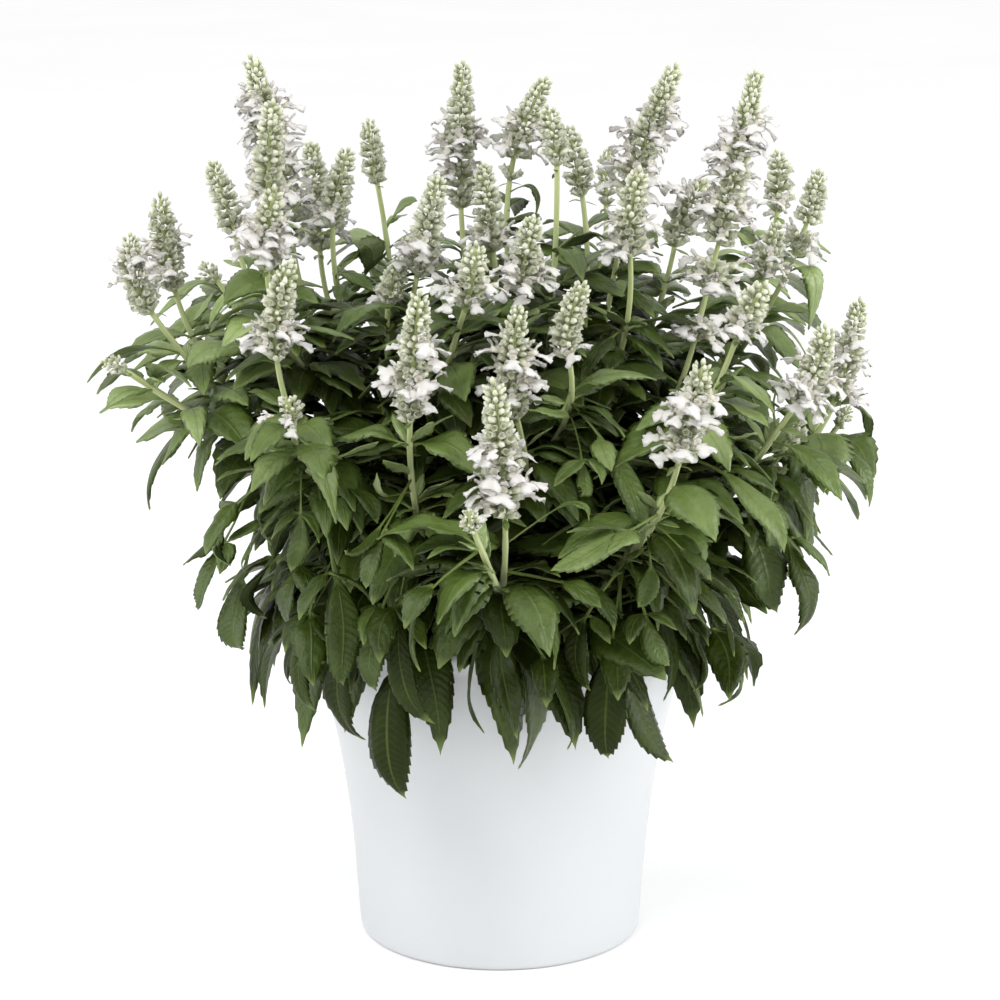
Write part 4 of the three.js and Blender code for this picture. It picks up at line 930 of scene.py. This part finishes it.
def placeAll(heap, shape, last, bases, sides, overs, ways, wide, long, finish, marks):  # many copies of one form
    for n in range(len(bases)):
        axes = np.stack([sides[n] * wide[n], overs[n] * wide[n], ways[n] * long[n]])
        rings = bases[n] + shape @ axes
        rings = rings - overs[n] * (0.07 * long[n] * np.clip(shape[..., 2:], 0, 1) ** 2)
        heap.loft(rings, finish, (0, 0), marks(n, shape), None, bases[n] + ways[n] * long[n] * last)


def makeCorolla(n):  # tube, broad lobed lower lip and hooded upper lip, as three closed shells; z runs outwards
    tube = roundRings(((-2.0, 0.7, 0), (0.0, 0.95, 0), (1.7, 1.4, 0), (0.9, 0.9, 0)), 6)
    droop, flare = drawBetween(0.2, 1.0, 95, n, 1), drawBetween(0.85, 1.15, 95, n, 2)
    lowers, uppers = [], []
    v = np.array((0, 0.22, 0.45, 0.72, 0.9, 1.0))
    widths = np.array((1.1, 2.7, 2.0, 3.9, 3.8, 2.6)) * flare
    for k in range(6):
        row = []
        for u, hand in ((-1, 0), (-0.5, 1), (0, 1), (0.5, 1), (1, 0), (0.5, -1), (0, -1), (-0.5, -1)):
            notch = (0.9 - 2.4 * abs(abs(u) - 0.5)) * (v[k] > 0.95)
            ruffle = 0.45 * math.sin(5 * u + n + 4 * v[k]) * v[k]
            z = 1.2 + 5.2 * v[k] * (1 - 0.15 * v[k] * droop) + notch
            y = -0.9 + 0.2 * v[k] - droop * 3.1 * v[k] ** 1.8 - 1.3 * u * u * v[k] + ruffle + 0.13 * hand
            row.append((u * widths[k] * drawBetween(0.92, 1.08, 95, n, 3, k), y, z))
        lowers.append(row)
    v = (0, 0.4, 0.75, 1.0)
    for k in range(4):
        row = []
        for u, hand in ((-1, 0), (0, 1), (1, 0), (0.5, -1), (-0.5, -1)):
            y = 0.9 + 2.6 * v[k] - 0.9 * v[k] ** 2 + 0.7 * (1 - u * u) + 0.1 * hand
            row.append((u * (1.3, 1.7, 1.6, 0.8)[k], y, 1.2 + 2.6 * v[k] ** 1.2))
        uppers.append(row)
    return tube, np.array(lowers), np.array(uppers)


corollas = [makeCorolla(n) for n in range(8)]


def growFlower(heap, mouth, way, upward, size, *keys):
    turn = drawBetween(-0.5, 0.5, *keys, 41)
    side = unit(np.cross(way, upward))
    over = np.cross(side, way)
    side, over = side * math.cos(turn) + over * math.sin(turn), over * math.cos(turn) - side * math.sin(turn)
    axes = np.stack([side, over, way]) * size
    chance = draw(*keys, 42)
    tube, lower, upper = corollas[int(draw(*keys, 43) * 8)]
    for shape, last in ((tube, (0, 0, 0.4)), (lower, None), (upper, None)):
        along = np.clip(0.2 + shape[..., 2] / 7 + np.abs(shape[..., 1]) * 0.08, 0, 1)
        throat = np.clip(1.2 - shape[..., 2] * 0.5, 0, 1)
        marks = np.stack(np.broadcast_arrays(along, throat, chance), -1)
        end = None if last is None else mouth + np.array(last) @ axes
        heap.loft(mouth + shape @ axes, 1, (0, 0), marks, None, end)


def growSpike(shoot):
    heap = Heap()
    key = shoot["key"]
    length = curveLength(shoot["axis"])
    size = shoot["width"] / spike["usual"]
    s = np.arange(12) / 11 * 0.97
    points, ways = curveRun(shoot["axis"], s)
    points[0] -= ways[0] * 0.8
    radius = (spike["axisRadius"] - spike["axisTaper"] * s)[:, None]
    heap.loft(ringsAlong(points, ways, radius, np.pi / 3 * np.arange(6)), 2, (0, 0), (0.8, 0, 0.5))
    s, whorl, grown, flowers = spike["first"], 0, [], []
    low, high = shoot["open"]

    def vary(least, most, label):
        return drawBetween(least, most, *key, whorl, i, label)

    while s < spike["last"]:
        gap = mix(spike["lowGap"], spike["highGap"], s ** 0.75) * mix(1, size, 0.6)
        if not isBare(shoot, s):
            n = next(count for end, count in spike["perWhorl"] if s < end)
            if size < spike["slender"]:
                n = max(4, n - 2)
            turn = whorl * math.pi / n + drawBetween(-0.3, 0.3, *key, whorl, 51)
            for i in range(n):
                seat = min(0.99, s + vary(-0.22, 0.22, 52) * gap / length)
                point, along, side, over = spikeFrame(shoot, seat)
                a = turn + 2 * math.pi * i / n + vary(-0.2, 0.2, 53)
                radial = side * math.cos(a) + over * math.sin(a)
                reach = shoot["width"] * swell(shoot, s) * vary(0.84, 1.1, 54)
                late = s ** spike["easing"]
                long = spike["calyxLong"] * size * mix(1.0, spike["calyxTaper"], late) * vary(0.8, 1.12, 55)
                lean = mix(*spike["lean"], late) + vary(-0.12, 0.1, 60)
                stalk = min(spike["stalk"][1], max(spike["stalk"][0], reach - long * lean))
                lean = min(0.96, max(0.2, (reach - stalk) / long))
                way = unit(radial * lean + along * math.sqrt(1 - lean * lean)
                           + np.cross(along, radial) * vary(-0.3, 0.3, 61))
                base = point + radial * stalk
                isOpen = s < spike["openEnd"] and draw(*key, whorl, i, 62) < mix(*spike["opening"], s)
                wide = long * mix(spike["calyxWide"], spike["budWide"], s) * vary(0.85, 1.15, 63)
                youth = smooth(0.5, 1.0, s)
                grown.append((base, way, along, long, wide, youth, isOpen, draw(*key, whorl, i, 56)))
                if low < s < high and draw(*key, whorl, i, 64) < spike["flowering"]:
                    outward = unit(way * 0.35 + radial * 0.8 + along * vary(-0.3, 0.25, 65))
                    flowers.append((base + way * long * 0.78, outward, along, size * vary(0.72, 1.08, 66)))
        s += gap / length
        whorl += 1
    point, along, side, over = spikeFrame(shoot, spike["last"])
    grown.append((point, along, side, 4.0 * size, 1.4 * size, 1.0, False, 0.5))
    for wanted, shape, last in ((True, openCalyx, 0.45), (False, shutCalyx, 1.02)):
        group = [g for g in grown if g[6] == wanted]
        if not group:
            continue
        bases, ways, ups = (np.array([g[k] for g in group]) for k in range(3))
        sides = np.cross(ways, ups)
        sides /= np.linalg.norm(sides, axis=1)[:, None]
        placeAll(heap, shape, last, bases, sides, np.cross(sides, ways), ways, [g[4] for g in group],
                 [g[3] for g in group], 0, lambda n, form: np.stack(np.broadcast_arrays(
                     group[n][5], np.clip(form[..., 2], 0, 1) * (1 - 0.7 * (np.arange(len(form)) > 4))[:, None],
                     group[n][7]), -1))
    for i, (s, a, far) in enumerate(openFlowers(shoot)):
        point, along, side, over = spikeFrame(shoot, s)
        radial = side * math.cos(a) + over * math.sin(a)
        rim = max(spike["corolla"] * far - 8.4 * size, shoot["width"] * 0.6)
        way = unit(radial + along * drawBetween(-0.05, 0.3, *key, i, 67))
        flowers.append((point + radial * rim + along, way, along, size * 0.98))
    for i, (mouth, way, along, big) in enumerate(flowers):
        growFlower(heap, mouth, way, along, big * spike["flowerSize"], *key, i)
    return heap


total = 0
for shoot in shoots:
    heap = growSpike(shoot)
    total += triangles(heap)
    makePiece("flower_spike_" + shoot["name"], heap, [finishes["calyx"], finishes["petal"], finishes["stem"]],
              ["spike_" + shoot["name"]])
print("spikes", total, "triangles")


# extra leaves: small ones in the axils and more of the usual ones wherever there is room

extra = {"last": 0.97, "tries": 8, "bare": 0.85, "aside": 3.5, "stalkStops": 16, "boxRoom": 4, "bracts": (8, 13),
         "axilLong": (13, 26), "axilShare": 0.5, "axilRows": 8, "axilRoom": 2.6, "longStalk": 26, "sprays": 3,
         "sprayRoom": 3.0, "potInside": 8, "potOutside": 3, "overRim": 4}
# three passes along every stalk: the usual leaves, closer ones, and light ones deep inside the clump, where inside
# gives the least and greatest height of the leaf's foot and how far from the middle its tip may be
passes = [
    {"first": 12, "every": 15, "room": 4.4, "slim": 0.62, "rows": 16, "label": 50},
    {"first": 19, "every": 15, "room": 3.4, "slim": 0.62, "rows": 13, "label": 150},
    {"first": 9, "every": 11, "room": 2.6, "slim": 1.0, "rows": 7, "label": 250, "inside": (175, 350, 120)},
]
# leaves seen from the front that only the finer plant has: as in the table above
finerLeaves = [
    ((290, 545), (288, 585), (300, 632), 36, (-60, -66), 0),
    ((396, 532), (370, 538), (345, 551), 24, (-112, -124), 0.2),
    ((258, 508), (254, 538), (245, 571), 18, (-60, -64), 0),
    ((728, 520), (756, 556), (777, 612), 48, (-50, -60), 0),
    ((258, 470), (262, 500), (272, 545), 30, (-60, -66), 0),
    ((262, 540), (258, 575), (266, 618), 32, (-40, -44), 0),
    ((225, 425), (205, 450), (197, 492), 30, (-20, -30), 0.2),
    ((745, 480), (770, 520), (772, 575), 36, (-40, -52), 0),
    ((700, 540), (716, 580), (744, 622), 34, (-70, -78), 0),
    ((355, 590), (372, 630), (376, 690), 40, (-112, -114), 0),
    ((450, 580), (448, 622), (440, 668), 32, (-124, -128), 0),
    ((585, 600), (582, 640), (590, 690), 34, (-112, -116), 0),
    ((655, 600), (668, 640), (664, 700), 34, (-96, -98), 0),
    ((690, 600), (700, 640), (694, 690), 32, (-86, -90), 0),
]


def bladeSamples(one):
    found = []
    for k in range(1, 6):
        t = one["stalkShare"] + (1 - one["stalkShare"]) * (k - 0.35) / 5
        point, along, side, face = ribFrame(one, t)
        half = one["width"] * bladeShare((t - one["stalkShare"]) / (1 - one["stalkShare"]))
        found += [point, point + side * half * 0.85, point - side * half * 0.85]
    return found + [one["rib"][2]]


boxLow = [c / mm - extra["boxRoom"] for c in cadLow]
boxHigh = [c / mm + extra["boxRoom"] for c in cadHigh]
cell = 4.4
room = {}


def claim(points):
    for p in points:
        p = (float(p[0]), float(p[1]), float(p[2]))
        room.setdefault((int(p[0] // cell), int(p[1] // cell), int(p[2] // cell)), []).append(p)


def isOpen(p, gap):  # nothing claimed nearer than the gap, inside the frame's own reach and clear of the pot
    x, y, z = float(p[0]), float(p[1]), float(p[2])
    if not all(low < c < high for c, low, high in zip((x, y, z), boxLow, boxHigh)):
        return False
    inner = potRadius(max(z, 0)) - extra["potInside"]
    outer = potRadius(min(max(z, 0), pot["height"])) + extra["potOutside"]
    if z < pot["height"] + extra["overRim"] and inner < math.hypot(x, y) < outer:
        return False
    i, j, k = int(x // cell), int(y // cell), int(z // cell)
    for di in (-1, 0, 1):
        for dj in (-1, 0, 1):
            for dk in (-1, 0, 1):
                for q in room.get((i + di, j + dj, k + dk), ()):
                    if (q[0] - x) ** 2 + (q[1] - y) ** 2 + (q[2] - z) ** 2 < gap * gap:
                        return False
    return True


def isFree(points, gap):
    return all(isOpen(p, gap) for p in points)


# the picture shows each stalk bare from its spike down to its knee: more leaves keep off it and out of its front
shownStalks = []
for shoot in shoots:
    knee = fromPhoto(shoot["knee"], shoot["depth"] * clump["depth"] * 0.97)
    shoot["leafy"] = 1 - extra["bare"] * float(np.linalg.norm(shoot["axis"][0] - knee)) / shoot["long"]
    points = curveRun(shoot["stalk"], np.linspace(shoot["leafy"], 1.0, extra["stalkStops"]))[0]
    owner = np.full(len(points), shoot["order"])
    shownStalks.append(np.column_stack([toPhoto(points), points[:, 1], owner]))
shownStalks = np.vstack(shownStalks)


def isAside(one):
    t = np.linspace(0.15, 1.0, 9)
    points = curveRun(one["rib"], t)[0]
    seen = toPhoto(points)
    half = one["width"] * 0.8 * np.sin(np.pi * np.clip(t, 0.2, 0.9)) * view["focal"] / view["distance"]
    gap = np.linalg.norm(seen[:, None] - shownStalks[None, :, :2], axis=2) - half[:, None] - extra["aside"]
    mine = shownStalks[:, 3] == one["shoot"]["order"]
    ahead = (points[:, 1:2] < shownStalks[:, 2]) & ~(mine & (t[:, None] < 0.5))
    return not np.any((gap < 0) & ahead)


for one in leaves:
    claim(bladeSamples(one))
for shoot in shoots:
    claim([curvePoint(shoot["axis"], k / 12) for k in range(13)])
more = []
for data in finerLeaves:
    more.append(shownLeaf(data, 0))
    claim(bladeSamples(more[-1]))


def keepIfFree(small, gap, kept):
    points = bladeSamples(small)
    if isFree(points[3:], gap) and isAside(small):
        claim(points)
        kept.append(small)


def fillIn(run):
    inside = run.get("inside")
    for shoot in shoots:
        k = 0
        while run["first"] + k * run["every"] < shoot["long"] * min(extra["last"], shoot["leafy"]):
            t = (run["first"] + k * run["every"]) / shoot["long"]
            for hand in (0, 1):
                for attempt in (0, *range(2, extra["tries"] + 1)):
                    one = pairLeaf(shoot, t, k + run["label"], hand, attempt)
                    root, tip = one["rib"][0], one["rib"][2]
                    if inside and not (inside[0] < root[2] < inside[1] and math.hypot(tip[0], tip[1]) < inside[2]):
                        continue
                    if not isOpen(tip, run["room"]) or not isAside(one):
                        continue
                    points = bladeSamples(one)
                    if isFree(points, run["room"]):
                        claim(points)
                        one["width"] *= drawBetween(run["slim"], 1.0, *shoot["key"], k, hand, run["label"])
                        # leaves deep inside the clump get a darker tone: painted shade
                        more.append({**one, "rows": run["rows"], "light": True, "young": -0.2 if inside else 0.0})
                        break
            k += 1


for one in list(leaves) + list(more):  # a long leaf stalk is a side shoot, with more leaves where its blade begins
    if one["stalkShare"] * one["length"] < extra["longStalk"]:
        continue
    key = (*one["shoot"]["key"], round(one["length"] * 10), 76)
    start = curvePoint(one["rib"], one["stalkShare"] * 0.7)
    fall = curveWay(one["rib"], 0.8)
    for k in range(extra["sprays"]):
        turn = one["heading"] + (1.0, -1.0, 0.3)[k] * drawBetween(0.7, 1.5, *key, k, 1)
        long = one["length"] * (1 - one["stalkShare"]) * drawBetween(0.5, 0.95, *key, k, 2)
        ahead = unit(vec(math.cos(turn), math.sin(turn), 0) * 0.8 + curveWay(one["rib"], 0.3) * 0.4)
        bend = start + ahead * long * 0.45 + vec(0, 0, 3)
        tip = bend + unit(ahead * 0.5 + fall * drawBetween(0.3, 1.1, *key, k, 3)) * long * 0.6
        small = makeLeaf(start, bend, tip, long * 0.22, roll=drawBetween(-0.4, 0.4, *key, k, 4), stalkShare=0.1,
                         shoot=one["shoot"], t=one["t"], rows=15)
        keepIfFree(small, extra["sprayRoom"], more)
print("sprays", len(more))
for run in passes:
    fillIn(run)
print("extra leaves", len(more))

axils = []
for one in leaves + more:
    shoot = one["shoot"]
    key = (*shoot["key"], round(one["t"] * 1000), round(one["heading"] * 100) & 1023)
    if draw(*key, 71) > extra["axilShare"]:
        continue
    start = curvePoint(shoot["stalk"], min(1.0, one["t"] + 2 / shoot["long"]))
    along = curveWay(shoot["stalk"], one["t"])
    for k in range(2):
        turn = one["heading"] + (0.7 if k else -0.7) + drawBetween(-0.5, 0.5, *key, k, 72)
        long = drawBetween(*extra["axilLong"], *key, k, 73)
        ahead = unit(vec(math.cos(turn), math.sin(turn), 0) + along * 0.9)
        bend = start + ahead * long * 0.5
        tip = bend + unit(ahead + vec(0, 0, drawBetween(-0.9, 0.1, *key, k, 74))) * long * 0.55
        small = makeLeaf(start, bend, tip, long * 0.2, roll=drawBetween(-0.5, 0.5, *key, k, 75), shoot=shoot,
                         t=one["t"], rows=extra["axilRows"], young=0.3, light=True)
        keepIfFree(small, extra["axilRoom"], axils)
for shoot in shoots:  # a pair of narrow bracts under each spike
    for hand in (0, 1):
        key = (*shoot["key"], hand)
        turn = draw(*shoot["key"], 90) * 6.28 + hand * math.pi + drawBetween(-0.3, 0.3, *key, 91)
        long = drawBetween(*extra["bracts"], *key, 92) * shoot["width"] / spike["usual"]
        start = curvePoint(shoot["stalk"], 0.985)
        ahead = vec(math.cos(turn), math.sin(turn), 0)
        bend = start + ahead * long * 0.5 + vec(0, 0, long * drawBetween(-0.1, 0.5, *key, 93))
        tip = bend + ahead * long * 0.45 - vec(0, 0, long * drawBetween(0.1, 0.5, *key, 94))
        axils.append(makeLeaf(start, bend, tip, long * 0.17, shoot=shoot, t=0.985, rows=7, young=0.1, light=True))
print("axil leaves and bracts", len(axils))


# painted light on the leaves: lighter with height and with reach from the middle, plus a random tone
paintedLightAndToneParts = {"least": 0.08, "litByHeight": 0.42, "litByReach": 0.5, "low": 150, "high": 400, "near": 60, "far": 190,
          "lowReach": 0.3, "chance": (-0.2, 0.26)}


def paintedLightAndToneOf(one, *keys):  # painted light and shade: darker low down and inside the clump, where shade falls, lighter at the top and out at the sides, where light falls; also paler where young, painted darker for the leaves deep inside, and a random tone
    middle = curvePoint(one["rib"], 0.6)
    height = smooth(paintedLightAndToneParts["low"], paintedLightAndToneParts["high"], middle[2])
    outer = smooth(paintedLightAndToneParts["near"], paintedLightAndToneParts["far"], math.hypot(middle[0], middle[1]))
    outer *= mix(paintedLightAndToneParts["lowReach"], 1.0, height)
    paintedLightAndTone = paintedLightAndToneParts["least"] + paintedLightAndToneParts["litByHeight"] * height + paintedLightAndToneParts["litByReach"] * outer + one.get("young", 0)
    return min(1.0, max(0.0, paintedLightAndTone + drawBetween(*paintedLightAndToneParts["chance"], *keys, 81)))


total = 0
for number, plan in enumerate(stemPlans):
    heap = Heap()
    for shoot in shoots:
        if shoot["key"][0] == number:
            growStalk(heap, shoot)
    own = [one for one in leaves + more + axils if one["shoot"]["key"][0] == number]
    for n, one in enumerate(own):
        growLeaf(heap, one, paintedLightAndToneOf(one, number, n), number, n)
    total += triangles(heap)
    makePiece("leafy_stem_" + plan["name"], heap, [finishes["leaf"], finishes["stem"]],
              ["stem_" + plan["name"]])
print("leafy stems", total, "triangles")


# studio: pale floor, soft light from above left, the eye's own view; lengths in metres, but the sensor in mm

studio = {"floor": 30.0, "world": 1.0, "sensor": 36, "picture": 1000, "far": 100}
# each lamp: name, place, what it points at, width across and power
lamps = (
    ("key_light", (-0.9, -1.5, 2.1), (0, 0, 0.25), 1.3, 22),
    ("side_light", (1.9, -0.5, 0.9), (0, 0, 0.25), 1.2, 23),
    ("low_light", (-1.8, -0.3, 0.7), (0, 0, 0.2), 1.2, 8),
)


def softLamp(name, place, target, size, power):
    lamp = bpy.data.lights.new(name, "AREA")
    lamp.shape = "DISK"
    lamp.size = size
    lamp.energy = power
    holder = addObject(name, lamp)
    holder.location = place
    holder.rotation_mode = "QUATERNION"
    holder.rotation_quaternion = (Vector(target) - Vector(place)).to_track_quat("-Z", "Y")


def makeStudio():
    board = Board("paleFloor")
    pale = board.ramp(board.noise(3, 2), [(0.3, (0.955, 0.955, 0.955)), (0.7, (0.975, 0.975, 0.975))])
    half = studio["floor"] / 2
    mesh = bpy.data.meshes.new("studio_floor")
    mesh.from_pydata([(-half, -half, 0), (half, -half, 0), (half, half, 0), (-half, half, 0)], [], [(0, 1, 2, 3)])
    mesh.materials.append(board.done(colour=pale, roughness=0.9))
    addObject("studio_floor", mesh)
    world = bpy.data.worlds.new("studioLight")
    world.use_nodes = True
    sky = world.node_tree.nodes["Background"]
    sky.inputs[0].default_value = (1.0, 1.0, 1.0, 1)
    sky.inputs[1].default_value = studio["world"]
    bpy.context.scene.world = world
    for lamp in lamps:
        softLamp(*lamp)
    camera = bpy.data.cameras.new("camera")
    camera.lens = studio["sensor"] * view["focal"] / studio["picture"]
    camera.clip_end = studio["far"]
    holder = addObject("camera", camera)
    holder.location = (0, -view["distance"] * mm, view["height"] * mm)
    holder.rotation_euler = (math.radians(90 - view["tilt"]), 0, 0)
    bpy.context.scene.camera = holder
    bpy.context.scene.view_settings.view_transform = "Standard"


makeStudio()
print("studio")
